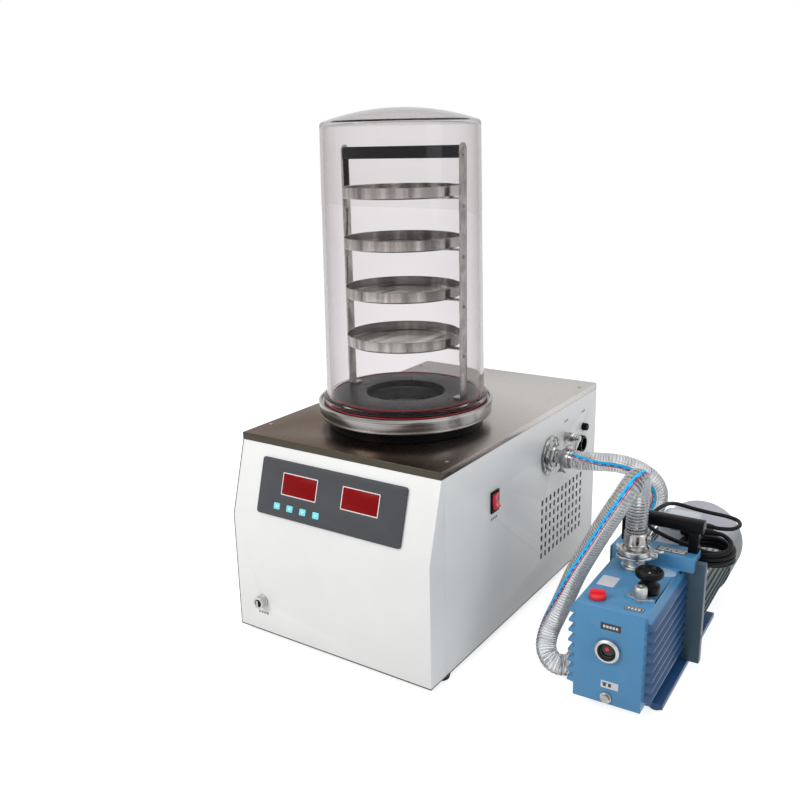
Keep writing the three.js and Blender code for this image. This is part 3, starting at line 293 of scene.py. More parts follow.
def pump_point(u, v, z):
    """A point in millimetres across, back and up from the pump's front left corner."""
    return pump_matrix @ (Vector((u, v, z)) / 1000)


touching_gap = 0.0003
hose_radius = 0.0175
port_low, port_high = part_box("vacuum_port")
port_y, port_z = (port_low.y + port_high.y) / 2, (port_low.z + port_high.z) / 2
hose_start = Vector((port_high.x + touching_gap, port_y, port_z))
pipe_x, pipe_y = 41, 152
hose_end = pump_point(pipe_x, pipe_y, 1000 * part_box("suction_pipe")[1].z + 0.3)


def from_port(x, y, z):
    """A point of the hose in millimetres from its end on the port."""
    return hose_start + Vector((x, y, z)) / 1000


def by_pump(x, y, z=18):
    """A point of the hose in millimetres from the pump's corner, square to the cabinet."""
    return cabinet_point(pump_x + x, pump_y + y, z)


hose_points = [
    hose_start,
    from_port(14, 0, 0), from_port(46, 3, 3), from_port(80, 12, 3), from_port(111, 25, -7),
    from_port(133, 37, -25), from_port(143, 47, -48), from_port(142, 53, -72),
    by_pump(-13, 384, 180), by_pump(-28, 384, 150), by_pump(-42, 384, 115), by_pump(-50, 377, 78),
    by_pump(-55, 355, 44), by_pump(-57, 319, 24),
    by_pump(-57, 274), by_pump(-54, 224), by_pump(-47, 179), by_pump(-37, 100), by_pump(-38, 83),
    by_pump(-43, 71, 20), by_pump(-52.5, 64, 22.5), by_pump(-64, 63, 27), by_pump(-73.5, 67, 35),
    by_pump(-78.5, 73, 46), by_pump(-79, 80, 60), by_pump(-75, 87, 79), by_pump(-60, 94, 120),
    by_pump(-41, 99, 174), by_pump(-19, 101, 222), by_pump(4, 101, 268), by_pump(22, 101, 302),
    by_pump(31, 104, 320), by_pump(37, 112, 333), by_pump(40, 124, 339), by_pump(40.5, 136, 337.5),
    by_pump(39, 147, 329), by_pump(36.5, 152.5, 314),
    hose_end + Vector((0, 0, 0.046)), hose_end + Vector((0, 0, 0.014)), hose_end,
]
hose_route = smooth_route(hose_points, 0.006)
hose_length = lengths_along(hose_route)[-1]


def hose_material():
    """Clear vinyl with the printed lines as opaque bands at their places round the hose."""
    material, shader = surface("hose_vinyl", (0.88, 0.90, 0.91), 0.14)
    shader.inputs["IOR"].default_value = 1.25
    shader.inputs["Coat Weight"].default_value = 0.3
    place = new_node(material, "UVMap")
    place.uv_map = "along_and_round"
    split = new_node(material, "SeparateXYZ")
    wired(material, (place, 0, split, 0))

    def both(operation, first, second):
        node = new_node(material, "Math", operation=operation)
        wired(material, (first, 0, node, 0), (second, 0, node, 1))
        return node

    def against(operation, value, source, output=0):
        node = new_node(material, "Math", {1: value}, operation)
        wired(material, (source, output, node, 0))
        return node

    def band(low, high):
        above = against("GREATER_THAN", low, split, 1)
        return both("MULTIPLY", above, against("LESS_THAN", high, split, 1))

    blue = band(0.471, 0.530)
    orange = band(0.434, 0.442)
    red = band(0.539, 0.552)
    dash_pitch = 0.0135
    step = new_node(material, "Math", operation="FRACT")
    wired(material, (against("MULTIPLY", 1 / dash_pitch, split), 0, step, 0))
    dashes = both("MULTIPLY", band(0.511, 0.530), against("LESS_THAN", 0.55, step))
    colour = None
    for mask, tint in (
        (blue, (0.015, 0.47, 0.84)),
        (orange, (0.86, 0.45, 0.10)),
        (red, (0.55, 0.02, 0.10)),
        (dashes, (0.02, 0.09, 0.38)),
    ):
        mix = colour_mix(material, (0.92, 0.93, 0.94), tint)
        wired(material, (mask, 0, mix, 0))
        if colour:
            wired(material, (colour, 2, mix, 6))
        colour = mix
    printed = both("MAXIMUM", both("MAXIMUM", blue, orange), red)
    clear = new_node(material, "Math", {0: 0.97}, "SUBTRACT")
    wired(
        material,
        (colour, 2, shader, "Base Color"),
        (printed, 0, clear, 1),
        (clear, 0, shader, "Transmission Weight"),
    )
    return material


wire_pitch = 0.005
hose_bore = 0.0145
stripe_turns = (
    (0, 35), (0.05, 78), (0.1, 86), (0.157, 116), (0.19, 130), (0.24, 143), (0.3, 143), (0.7, -30),
    (0.76, -5), (0.795, 10), (0.825, 25), (0.856, 35), (0.888, 42), (0.92, 47), (0.98, 50), (1.04, 55),
    (1.1, 88), (1.3, 88),
)


def ribbed(run):
    """The hose stands out a little over each turn of its wire."""
    rise = 0.0006
    return hose_radius - rise + rise * math.cos(math.tau * run / wire_pitch)


def stripe_turn(run):
    """How far the blue line has turned round the hose at this distance along it."""
    for (start, first), (end, second) in zip(stripe_turns, stripe_turns[1:]):
        if run <= end:
            return math.radians(first + (second - first) * (run - start) / (end - start) - 180)


fine_route = smooth_route(hose_points, 0.00125)
hose_wall = gathered(
    swept(fine_route, ribbed, 24, stripe_turn, capped=False),
    swept(fine_route, hose_bore, 24, stripe_turn, capped=False),
)
for end in (hose_start, hose_end):
    rims = [edge for edge in hose_wall.edges if edge.is_boundary]
    rim = [edge for edge in rims if (edge.verts[0].co - end).length < 0.03]
    bmesh.ops.bridge_loops(hose_wall, edges=rim)
bmesh.ops.recalc_face_normals(hose_wall, faces=hose_wall.faces)
hose = placed(
    "vacuum_hose_wall", hose_wall, hose_material(), smooth=180, node="vacuum_hose",
)

wire_route = smooth_route(hose_points, 0.0004)
wire_path = []
wire_runs = lengths_along(wire_route)
for place, run, (side, other) in zip(wire_route, wire_runs, sections_along(wire_route)):
    a = math.tau * run / wire_pitch
    wire_path.append(place + (hose_radius - 0.0016) * (side * math.cos(a) + other * math.sin(a)))
wire_metal = surface("hose_wire", (0.78, 0.80, 0.81), 0.3, 0.25)[0]
wire = placed("vacuum_hose_wire", swept(wire_path, 0.0008, 5), wire_metal, smooth=180)


# ---------------------------------------------------------------------------
# Pump lead: black rubber flex. It leaves the gland on the terminal box, goes once round
# the box and behind the handle, and its spare length lies coiled on the motor.
box_left, box_front, box_right, box_back, box_top = 33, 302, 97, 360, 209


def by_box(u, v, z):
    """A point in millimetres from the top back left corner of the terminal box."""
    return pump_point(box_left + u, box_back + v, box_top + z)


lead_radius = 0.0035
coil_low, coil_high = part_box("lead_coil")
coil_middle = 500 * (coil_low.z + coil_high.z)


def coil_point(degrees, radius, height):
    a = math.radians(degrees)
    return pump_point(127 + radius * math.cos(a), 265.5 + radius * math.sin(a), coil_middle + height)


inner_turns = [coil_point(-60 + 10 * k, 35.4, 11 - 22 * k / 108) for k in range(109)]
crossing = [coil_point(1020 + 10 * k, 35.4 + 1.2 * k, -11) for k in range(1, 6)]
outer_turns = [coil_point(1080 + 10 * k, 42.6, -11 + 22 * k / 102) for k in range(103)]
gland_y, gland_z = 345, 191
gland_end = pump_point(box_right + 22.3, gland_y, gland_z)
lead_way = smooth_route([
    gland_end, pump_point(128.3, gland_y, gland_z), by_box(115, -7, -18),
    by_box(123, 13, -17.5), by_box(115, 33, -17), by_box(95, 41, -16.5), by_box(64, 43, -16),
    by_box(35, 41, -13), by_box(13, 32, -6.5), by_box(2, 13, 0),
    by_box(-2, -14, 5.5), by_box(-6, -42, 7), by_box(-10, -70, 5), by_box(-6, -98, 3), by_box(9, -119, 3),
    by_box(31, -130, 1), by_box(53, -135, -2.5), pump_point(110, 228.5, coil_middle + 19),
    coil_point(-88, 38.5, 15), *inner_turns[::3],
], 0.005)
lead_out = smooth_route([
    *outer_turns[90::3], pump_point(162.5, 240.8, coil_middle + 14),
    pump_point(166.5, 255.5, coil_middle + 17.5),
    pump_point(162.5, 270.3, coil_middle + 21), pump_point(151.8, 281, coil_middle + 23.6),
    pump_point(144, 284.9, coil_middle + 24.3), pump_point(139.3, 285, coil_middle + 24.3),
], 0.005)
lead_route = [*lead_way, *crossing, *outer_turns[:90], *lead_out]
lead_length = lengths_along(lead_route)[-1]
rubber, rubber_shader = surface("black_rubber", (0.008, 0.008, 0.009), 0.45)
rubber_shader.inputs["Specular IOR Level"].default_value = 0.12
lead = placed("pump_lead_flex", swept(lead_route, lead_radius, 14), rubber, smooth=180)
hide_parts("pump_lead", "lead_coil")


# ---------------------------------------------------------------------------
# Cabinet sheets: powder-coated white steel. The folded front cover and the shell meet in
# a seam on both sides. The shell has the punched grille and the fittings' holes.
def linear(red, green, blue):
    """Screen values from 0 to 255 as the shader's linear colour."""
    return tuple(((value / 255 + 0.055) / 1.055) ** 2.4 for value in (red, green, blue))


def textured(
    name, colour, roughness, metallic=0.0, grain=500, stretch=(1, 1, 1), relief=0.15,
    spread=0.05, tone=0.03, streaked=False, shine=0.5, patches=14, drawn=(1, 1, 1),
):
    """A finish with fine grain in its relief and broad uneven patches in its gloss and tone.
    The patches have their own scale and may be drawn out along a direction."""
    colour = linear(*colour)
    material, shader = surface(name, colour, roughness, metallic)
    shader.inputs["Specular IOR Level"].default_value = shine
    place = new_node(material, "TexCoord")
    scaled = new_node(material, "Mapping", {"Scale": stretch})
    fine = new_node(material, "TexNoise", {"Scale": grain, "Detail": 4})
    drawn_out = new_node(material, "Mapping", {"Scale": drawn})
    broad = new_node(material, "TexNoise", {"Scale": patches})
    evened = new_node(material, "MapRange", {"From Min": 0.32, "From Max": 0.68})
    bump = new_node(material, "Bump", {"Strength": relief, "Distance": 0.0001})
    smoothest, roughest = max(0.02, roughness - spread), roughness + spread
    gloss = new_node(
        material, "MapRange", {"From Min": 0.3, "From Max": 0.7, "To Min": smoothest, "To Max": roughest},
    )
    darker = [value * (1 - tone) for value in colour]
    tint = colour_mix(material, darker, [min(1, value * (1 + tone)) for value in colour])
    wired(
        material,
        (place, "Object", scaled, 0),
        (scaled, 0, fine, "Vector"),
        (place, "Object", drawn_out, "Vector"),
        (drawn_out, 0, broad, "Vector"),
        (fine, 0, bump, "Height"),
        (bump, 0, shader, "Normal"),
        (fine if streaked else broad, 0, gloss, 0),
        (gloss, 0, shader, "Roughness"),
        (broad, 0, evened, 0),
        (evened, 0, tint, 0),
        (tint, 2, shader, "Base Color"),
    )
    return material


def faded(material, colour, *ramps):
    """Turns a finish to another colour where all the ramps are high. A ramp is a direction and
    the distances along it where the change starts and ends."""
    shader = material.node_tree.nodes["Principled BSDF"]
    place = new_node(material, "TexCoord")
    mix = colour_mix(material, after=linear(*colour))
    share = None
    for direction, start, end in ramps:
        along = new_node(material, "VectorMath", {1: direction}, "DOT_PRODUCT")
        ramp = new_node(material, "MapRange", {"From Min": start, "From Max": end})
        wired(material, (place, "Object", along, 0), (along, "Value", ramp, 0))
        if share:
            both = new_node(material, "Math", operation="MULTIPLY")
            wired(material, (share, 0, both, 0), (ramp, 0, both, 1))
            ramp = both
        share = ramp
    before = shader.inputs["Base Color"].links[0].from_node
    wired(material, (share, 0, mix, 0), (before, 2, mix, 6), (mix, 2, shader, "Base Color"))


def cad_solid(node):
    """The solid's own shape as one clean mesh, in metres, to be softened and finished."""
    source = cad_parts[node]
    bm = bmesh.new()
    bm.from_mesh(source.data)
    bm.transform(source.matrix_world)
    bmesh.ops.remove_doubles(bm, verts=bm.verts, dist=2e-5)
    bmesh.ops.dissolve_limit(bm, angle_limit=math.radians(2), verts=bm.verts, edges=bm.edges)
    bmesh.ops.recalc_face_normals(bm, faces=bm.faces)
    return bm


def softened(bm, width, angle=30, segments=2):
    """Rounds the sharp edges of a mesh by this width, in the mesh's own unit."""
    limit = math.radians(angle)
    joints = [edge for edge in bm.edges if len(edge.link_faces) == 2]
    sharp = [edge for edge in joints if edge.calc_face_angle(0) > limit]
    bmesh.ops.bevel(
        bm, geom=sharp, offset=width, offset_type="OFFSET", segments=segments, profile=0.5,
        affect="EDGES", clamp_overlap=False, material=-1,
    )
    bmesh.ops.recalc_face_normals(bm, faces=bm.faces)
    return bm


def dressed(node, width, material, body="machine", angle=30, segments=2, smooth=35):
    """The solid's shape with soft edges and its finish, in place of the plain node."""
    bm = softened(cad_solid(node), width / 1000, angle, segments)
    placed(node + "_finished", bm, material, body, smooth, node)


white_paint, front_paint = (
    textured(name, (238, 237, 233), 0.42, grain=900, relief=0.12, tone=0.015)
    for name in ("white_powder_coat", "white_front_coat")
)
# Dark edge colour: painted shade along the bottom of both sheets, and bare steel at the front cover's left
# cut edges.
bare_edge_and_gap_shade = (46, 52, 50)
# Painted shade: a dark band along the bottom 3 mm of both sheets stands in for the shadowed gap under them.
for paint in (white_paint, front_paint):
    faded(paint, bare_edge_and_gap_shade, ((0, 0, -1), -shell_low.z - 0.003, -shell_low.z - 0.0027))
bend_height, slope_top, slope_depth = 225, 352.2, 37
slope_normal = Vector((0, bend_height - slope_top, slope_depth)).normalized()
slope_reach = slope_normal.dot(cabinet_point(0, 0, bend_height))
by_left = ((-1, 0, 0), -shell_low.x - 0.0026, -shell_low.x - 0.0023)
by_front = ((0, -1, 0), -cabinet_place.y - 0.0015, -cabinet_place.y - 0.0012)
# Bare steel along the front cover's left cut edges, on its front and on its slope.
faded(front_paint, bare_edge_and_gap_shade, by_left, by_front)
faded(front_paint, bare_edge_and_gap_shade, by_left, (slope_normal, slope_reach - 0.0015, slope_reach - 0.0012))
dressed("front_cover", 0.8, front_paint, segments=3)
dressed("cabinet_shell", 0.35, white_paint)
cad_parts["base_pan"].material_slots[0].material = white_paint


# ---------------------------------------------------------------------------
# Feet: four low tapered rounds of moulded black rubber, screwed up into the base pan. Each
# has a recess under it for its screw.
millimetres = Matrix.Scale(0.001, 4)
cabinet_frame = Matrix.Translation(cabinet_place) @ millimetres


def rounded(corners, radius, steps=4, closed=True):
    """An outline with its corners rounded; the radius is one number or one for each corner."""
    outline = []
    for i, corner in enumerate(corners):
        corner = Vector(corner)
        size = radius[i] if isinstance(radius, (list, tuple)) else radius
        if size == 0 or not closed and i in (0, len(corners) - 1):
            outline.append(corner)
            continue
        before = Vector(corners[i - 1]) - corner
        after = Vector(corners[(i + 1) % len(corners)]) - corner
        reach = min(size / math.tan(before.angle(after) / 2), 0.48 * before.length, 0.48 * after.length)
        start = corner + before.normalized() * reach
        end = corner + after.normalized() * reach
        for k in range(steps + 1):
            t = k / steps
            outline.append((1 - t) ** 2 * start + 2 * t * (1 - t) * corner + t ** 2 * end)
    return outline


def spun(profile, steps=64, closed=True):
    """A round piece about the Z axis from (radius, height) points. An open profile starts and
    ends on the axis."""
    bm = bmesh.new()
    verts = [bm.verts.new((radius, 0, height)) for radius, height in profile]
    pairs = list(zip(verts, verts[1:] + verts[:1] if closed else verts[1:]))
    edges = [bm.edges.new(pair) for pair in pairs]
    bmesh.ops.spin(
        bm, geom=[*verts, *edges], cent=(0, 0, 0), axis=(0, 0, 1), angle=math.tau, steps=steps,
        use_merge=True, use_duplicate=False,
    )
    bmesh.ops.remove_doubles(bm, verts=bm.verts, dist=1e-4)
    bmesh.ops.recalc_face_normals(bm, faces=bm.faces)
    return bm


def turned_piece(corners, radius, steps=64):
    """A solid of revolution from its corners, starting and ending on the axis."""
    return spun(rounded(corners, radius, 3, closed=False), steps, closed=False)


def moved(bm, *matrices):
    """The mesh after the matrices, the last one applied first."""
    for matrix in reversed(matrices):
        bm.transform(matrix)
    return bm


def shift(x, y, z):
    """A move, with no turn."""
    return Matrix.Translation((x, y, z))


rubber_grain = textured("moulded_rubber", (22, 22, 23), 0.6, grain=700, relief=0.2, shine=0.25)
for corner in ("front_left", "front_right", "rear_left", "rear_right"):
    low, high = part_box("foot_" + corner)
    middle = ((low.x + high.x) / 2, (low.y + high.y) / 2, 0)
    shape = turned_piece(
        [(0, 3), (5, 3), (5, 0), (14.4, 0), (17, 11), (0, 11)], [0, 0.5, 0.8, 1.2, 0.8, 0],
    )
    shape = moved(shape, Matrix.Translation(middle), millimetres)
    name = "foot_" + corner
    placed(name + "_moulded", shape, rubber_grain, node=name)


# ---------------------------------------------------------------------------
# Top plate: brushed stainless steel folded down round the shell, held by four small
# countersunk cross-head screws.
def round_outline(radius, count=32, x=0.0, y=0.0, deep=None):
    """Points round a middle. The radius is one number or one for each point, and a round that
    is longer or shorter from front to back has its size that way given."""
    outline = []
    for k in range(count):
        a = math.tau * k / count
        size = radius[k] if isinstance(radius, list) else radius
        outline.append(Vector((x + size * math.cos(a), y + (deep or size) * math.sin(a))))
    return outline


def pushed(outline, low, high, holes=()):
    """A flat outline, with holes if any, pushed up along Z."""
    bm = bmesh.new()
    edges = []
    for loop in (outline, *holes):
        verts = [bm.verts.new((point[0], point[1], low)) for point in loop]
        edges += [bm.edges.new(pair) for pair in zip(verts, verts[1:] + verts[:1])]
    if holes:
        bmesh.ops.triangle_fill(bm, use_beauty=True, use_dissolve=False, edges=edges)
    else:
        bm.faces.new(bm.verts)
    risen = bmesh.ops.extrude_face_region(bm, geom=bm.faces[:])
    tops = [item for item in risen["geom"] if isinstance(item, bmesh.types.BMVert)]
    bmesh.ops.translate(bm, verts=tops, vec=(0, 0, high - low))
    bmesh.ops.recalc_face_normals(bm, faces=bm.faces)
    return bm


def block(outline, low, high, width, angle=30, segments=2, holes=()):
    """An outline pushed up, with its sharp edges rounded by this width."""
    return softened(pushed(outline, low, high, holes), width, angle, segments)


def cross_screw(radius, height=1.0):
    """A screw head on z = 0 with its cross recess."""
    arm, half = radius * 0.62, radius * 0.13
    cross = [
        (half, half), (arm, half), (arm, -half), (half, -half), (half, -arm), (-half, -arm),
        (-half, -half), (-arm, -half), (-arm, half), (-half, half), (-half, arm), (half, arm),
    ]
    head = block(round_outline(radius, 28), 0, height, radius * 0.07, 50, holes=[cross])
    floor_of_recess = pushed(round_outline(radius * 0.7, 16), -0.2, height * 0.25)
    return gathered(head, floor_of_recess)


# Painted reflection: the plate is dark brown at its front left and turns pale grey towards its back right.
# This stands in for the dark jar, collar and surroundings that it reflects.
steel_with_painted_reflection = textured(
    "brushed_stainless_painted_reflection", (98, 81, 71), 0.3, 1.0, grain=60, stretch=(30, 1, 30),
    relief=0.05, spread=0.07, tone=0.1, streaked=True, patches=60, drawn=(1, 0.03, 1),
)
faded(steel_with_painted_reflection, (200, 197, 194), ((0.45, 0.9, 0), -0.27, 0.12))
# Painted reflection: a darker olive band on the plate's front fold.
plate_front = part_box("top_plate")[0].y
faded(steel_with_painted_reflection, (72, 69, 60), ((0, -1, 0), -plate_front - 0.0008, -plate_front - 0.0004))
plate_shader = steel_with_painted_reflection.node_tree.nodes["Principled BSDF"]
plate_shader.inputs["Specular Tint"].default_value = (0.78, 0.76, 0.74, 1)
bright_metal = textured(
    "bright_steel", (168, 167, 165), 0.24, 1.0, grain=300, relief=0.01, spread=0.06,
    tone=0.25, patches=120, drawn=(1, 1, 0.6),
)
satin_metal = textured(
    "satin_steel", (186, 186, 184), 0.45, 1.0, grain=400, relief=0.03, tone=0.1, patches=90,
)
dressed("top_plate", 0.7, steel_with_painted_reflection, segments=3)
plate_top = 365
top_screws = [
    moved(cross_screw(3.4, 0.7), shift(x, y, plate_top))
    for x, y in ((-190, 97), (184, 84), (-190, 600), (185, 600))
]
placed("top_plate_screws", moved(gathered(*top_screws), cabinet_frame), bright_metal)


# ---------------------------------------------------------------------------
# Control panel: a dark grey printed film on its plate on the slope, two red display
# windows in thin pale frames, and four cyan keys.
slope_angle = math.atan2(slope_top - bend_height, slope_depth)
slope_frame = cabinet_frame @ shift(0, 0, bend_height) @ Matrix.Rotation(slope_angle, 4, "X")


def rectangle(left, low, right, high, radius=0.0):
    """An upright rectangle, its corners rounded if a radius is given."""
    corners = [(left, low), (right, low), (right, high), (left, high)]
    return rounded(corners, radius) if radius else [Vector(corner) for corner in corners]


panel_film = textured("panel_film", (70, 71, 75), 0.5, grain=1400, relief=0.08, tone=0.02, shine=0.25)
dressed("control_fascia", 0.5, panel_film)
pale_print = textured("pale_print", (232, 214, 212), 0.5, relief=0.03)
window_red = textured("display_window", (136, 12, 14), 0.25, grain=300, relief=0.02, spread=0.03, shine=0.06)
segment_red = textured("display_segments", (116, 22, 22), 0.3, relief=0.02, shine=0.06)


def seven_segments(x, y, width, height, bar):
    """The seven bars of one digit, its low left corner at x and y."""
    bars = []
    for level in (0, 0.5, 1):
        middle = y + level * height
        bars.append(rectangle(x + bar, middle - bar / 2, x + width - bar, middle + bar / 2, bar * 0.3))
    for across in (0, 1):
        for level in (0, 0.5):
            left = x + across * (width - bar)
            low = y + level * height + bar * 0.7
            bars.append(rectangle(left, low, left + bar, low + height / 2 - 1.4 * bar, bar * 0.3))
    return bars


window_wide, window_low, window_high, digit_pitch = 69.5, 56.5, 90, 15
for number, left in ((1, -96.5), (2, 28.5)):
    name = "display_%d" % number
    right = left + window_wide
    window = block(rectangle(left, window_low, right, window_high), 1.8, 5.4, 0.4)
    placed(name + "_window", moved(window, slope_frame), window_red, node=name)
    outside = rectangle(left - 2.4, 54.1, left + 71.9, 92.4, 1.8)
    inside = rectangle(left - 0.6, 55.9, left + 70.1, 90.6, 0.5)
    printed = pushed(outside, 4.25, 4.45, [inside])
    placed(name + "_frame", moved(printed, slope_frame), pale_print)
    digits = [seven_segments(left + 7 + digit_pitch * k, 64.5, 9.5, 17, 2.1) for k in range(4)]
    dots = [round_outline(0.9, 12, left + 18.6 + digit_pitch * k, 64) for k in range(4)]
    lit = [pushed(bar, 5.35, 5.44) for bar in (*sum(digits, []), *dots)]
    placed(name + "_segments", moved(gathered(*lit), slope_frame), segment_red)

key_cyan = textured("key_cyan", (127, 226, 232), 0.5, grain=900, relief=0.08)
key_ink = textured("key_ink", (232, 248, 248), 0.5, relief=0.02)
arrow = [(-2.6, -1.6), (2.6, -1.6), (0, 2.4)]
bar_mark = rectangle(-2.6, -0.7, 2.6, 0.7)
key_marks = (arrow, [(-x, -y) for x, y in arrow], [(y, x) for x, y in reversed(arrow)], bar_mark)
key_pitch = 27.8
for number, outline in enumerate(key_marks, 1):
    name = "key_%d" % number
    key_frame = slope_frame @ shift(-104 + key_pitch * (number - 1), 33.5, 4.9)
    shape = moved(block(rectangle(-6.5, -5.5, 6.5, 5.5, 1.5), -2.6, 0, 0.45, 50, 3), key_frame)
    placed(name + "_cap", shape, key_cyan, name, node=name)
    mark = gathered(pushed(outline, -0.05, 0.06))
    placed(name + "_mark", moved(mark, key_frame), key_ink, name)


# ---------------------------------------------------------------------------
# Drain valve: a turned satin flange and barrel, with a black quarter-turn knob in its mouth
# that has a pale grip bar.
to_right = rotation(90, "Y")
to_left = rotation(-90, "Y")
to_front = rotation(90, "X")
to_back = rotation(-90, "X")
drain_x = -146
drain_frame = cabinet_frame @ shift(drain_x, 0, 72) @ to_front
barrel = turned_piece([
    (0, -16), (8, -16), (8, 0.3), (12, 0.3), (12, 3.3), (10.5, 3.3), (10.5, 13.6), (6.9, 13.6),
    (6.9, 8.3), (0, 8.3),
], [0, 0.6, 0, 0.8, 0.8, 0.4, 1.1, 0.8, 0.3, 0], 64)
barrel = moved(barrel, drain_frame)
placed("drain_valve_barrel", barrel, satin_metal, node="drain_valve_body")
black_moulded = textured("black_moulding", (15, 15, 17), 0.3, grain=600, relief=0.12, shine=0.09)
stub = turned_piece([(0, 8.6), (6.5, 8.6), (6.5, 13.4), (0, 13.4)], [0, 0.4, 0.6, 0], 48)
stub = moved(stub, drain_frame)
placed(
    "drain_valve_stub", stub, black_moulded, "drain_knob", node="drain_valve_knob",
)
pale_grip = block(rectangle(-2, -5.8, 2, 5.8, 0.8), 13.3, 16.4, 0.5)
placed("drain_valve_grip", moved(pale_grip, drain_frame), bright_metal, "drain_knob")


# ---------------------------------------------------------------------------
# Power switch: a black moulded housing snapped into the right side, with a red moulded
# rocker marked with a bar and a ring.
red_moulded = textured("red_moulding", (222, 30, 44), 0.3, grain=500, relief=0.08)
dressed("switch_housing", 0.5, black_moulded)
dressed("power_rocker", 0.6, red_moulded, "rocker")
side_face = 202.5
rocker_frame = cabinet_frame @ shift(side_face, 206, 261) @ rotation(-9, "Y")
bar_place = shift(5.0, 0, 6.8) @ rotation(103.4, "Y")
ring_place = shift(5.0, 0, -6.8) @ rotation(76.6, "Y")
bar_shape = moved(pushed(rectangle(-2.6, -0.5, 2.6, 0.5), -0.2, 0.12), bar_place)
ring_shape = moved(pushed(round_outline(2.3), -0.2, 0.12, [round_outline(1.5)]), ring_place)
rocker_marks = moved(gathered(bar_shape, ring_shape), rocker_frame)
placed("power_rocker_marks", rocker_marks, pale_print, "rocker")


# ---------------------------------------------------------------------------
# Small captions printed in grey on the painted sheets, by the switch, the valve, the fuse
# and the drain. They are left as rows of plain squares.
def caption(across, up, count):
    """A row of hollow squares about a middle, standing on this height."""
    squares = []
    for k in range(count):
        left = across + (k - (count - 1) / 2) * 6 - 2
        hollow = rectangle(left + 1.2, up + 1.2, left + 2.8, up + 2.8)
        squares.append(pushed(rectangle(left, up, left + 4, up + 4), 0.02, 0.1, [hollow]))
    return gathered(*squares)


grey_print = textured("grey_print", (62, 64, 68), 0.5, relief=0.02)
side_frame = cabinet_frame @ shift(side_face, 0, 0) @ to_right @ rotation(90, "Z")
captions = [caption(*place) for place in ((206, 228, 4), (498, 322, 3), (581, 320, 3))]
placed("side_captions", moved(gathered(*captions), side_frame), grey_print)
drain_squares = moved(caption(0, 0, 4), cabinet_frame, shift(drain_x, 0, 47), to_front)
placed("drain_caption", drain_squares, grey_print)


# ---------------------------------------------------------------------------
# Vacuum port: turned stainless flange, collar and hose coupling, held by four screws and
# two wing screws, with a worm-drive band round the hose end.
port_frame = cabinet_frame @ shift(side_face, 426, 276) @ to_right
# Painted reflection: strong broad patches of darker and lighter tone stand in for what the polished metal
# reflects.
chrome = textured(
    "polished_steel", (158, 158, 158), 0.16, 1.0, grain=200, relief=0.006, spread=0.05,
    tone=0.45, patches=90, drawn=(1, 1, 0.5),
)
flange = turned_piece([
    (0, -22), (13, -22), (13, 0.3), (37.5, 0.3), (37.5, 5.3), (31, 5.3), (30, 4.3), (25, 4.3),
    (22.5, 6), (21, 8), (21, 12), (19.5, 15.3), (13, 15.3), (13, 27.3), (17.5, 27.6), (17.5, 49.3),
    (0, 49.3),
], [0, 0.5, 0, 1, 1.4, 0.6, 0.6, 1, 1, 1, 1, 1, 0.6, 0.6, 0.8, 0.8, 0], 96)
placed("vacuum_port_turned", moved(flange, port_frame), chrome, node="vacuum_port")
port_screws = []
for k in range(4):
    turn = Matrix.Rotation(math.tau * (k + 0.5) / 4, 4, "Z")
    port_screws.append(moved(cross_screw(2.8, 1.6), turn, shift(34, 0, 5.2)))
for degrees in (20, 78):
    stem = turned_piece(
        [(0, 17), (2.4, 17), (2.4, 29), (4.6, 29.5), (4.6, 33), (0, 33)],
        [0, 0, 0.3, 0.6, 0.6, 0], 24,
    )
    wing = [(-9, 36), (-6, 31), (6, 31), (9, 36), (7, 38), (0, 33.5), (-7, 38)]
    wing = moved(block(rounded(wing, 1.5, 3), -1.2, 1.2, 0.4), to_front)
    turn = rotation(degrees, "Z") @ shift(0, 0, 20) @ to_right
    port_screws.append(moved(gathered(stem, wing), turn))
placed("vacuum_port_screws", moved(gathered(*port_screws), port_frame), bright_metal)


def worm_band(inner, width):
    """A hose band about the Z axis from z = 0, its worm housing and screw on the +X side."""
    outer = inner + 1.4
    band = spun(rounded([(inner, 0), (outer, 0), (outer, width), (inner, width)], 0.4, 2), 72)
    housing = [(outer - 0.4, -7), (outer + 5.6, -5), (outer + 5.6, 5), (outer - 0.4, 7)]
    housing = block(rounded(housing, 1.5), 0.5, width - 0.5, 0.4)
    screw = turned_piece(
        [(0, -9), (2.6, -9), (2.6, 7), (3.6, 7), (3.6, 9), (2.2, 9.6), (0, 9.6)],
        [0, 0.5, 0.2, 0.4, 0.6, 0.3, 0], 24,
    )
    return gathered(band, housing, moved(screw, shift(outer + 2.4, 0, width / 2), to_front))


turned_band = shift(0, 0, 33.3) @ rotation(180, "Z")
port_band = moved(worm_band(17.8, 10), port_frame, turned_band)
placed("port_clamp_band", port_band, bright_metal, node="port_clamp")


# ---------------------------------------------------------------------------
# Vent valve, fuse holder and mains inlet: a plated hexagon valve with a flat lever, a black
# cap with a coin slot, and a round black inlet with three pins deep in its mouth.
vent_frame = cabinet_frame @ shift(side_face, 498, 292) @ to_right
hexagon = block(round_outline(10, 6), 6, 18, 0.8, 40, 3)
barrel = turned_piece([
    (0, -14), (4, -14), (4, 0.3), (8.6, 0.3), (8.6, 3), (6.6, 4), (6.6, 22.3), (4, 23), (4, 26.3), (0, 26.3),
], [0, 0.4, 0, 0.6, 0.6, 0.4, 0.8, 0.4, 0.5, 0], 40)
valve = moved(gathered(hexagon, barrel), vent_frame)
placed("vent_valve_hexagon", valve, bright_metal, node="vent_valve_body")
dressed("vent_valve_lever", 0.6, bright_metal, "vent_lever")

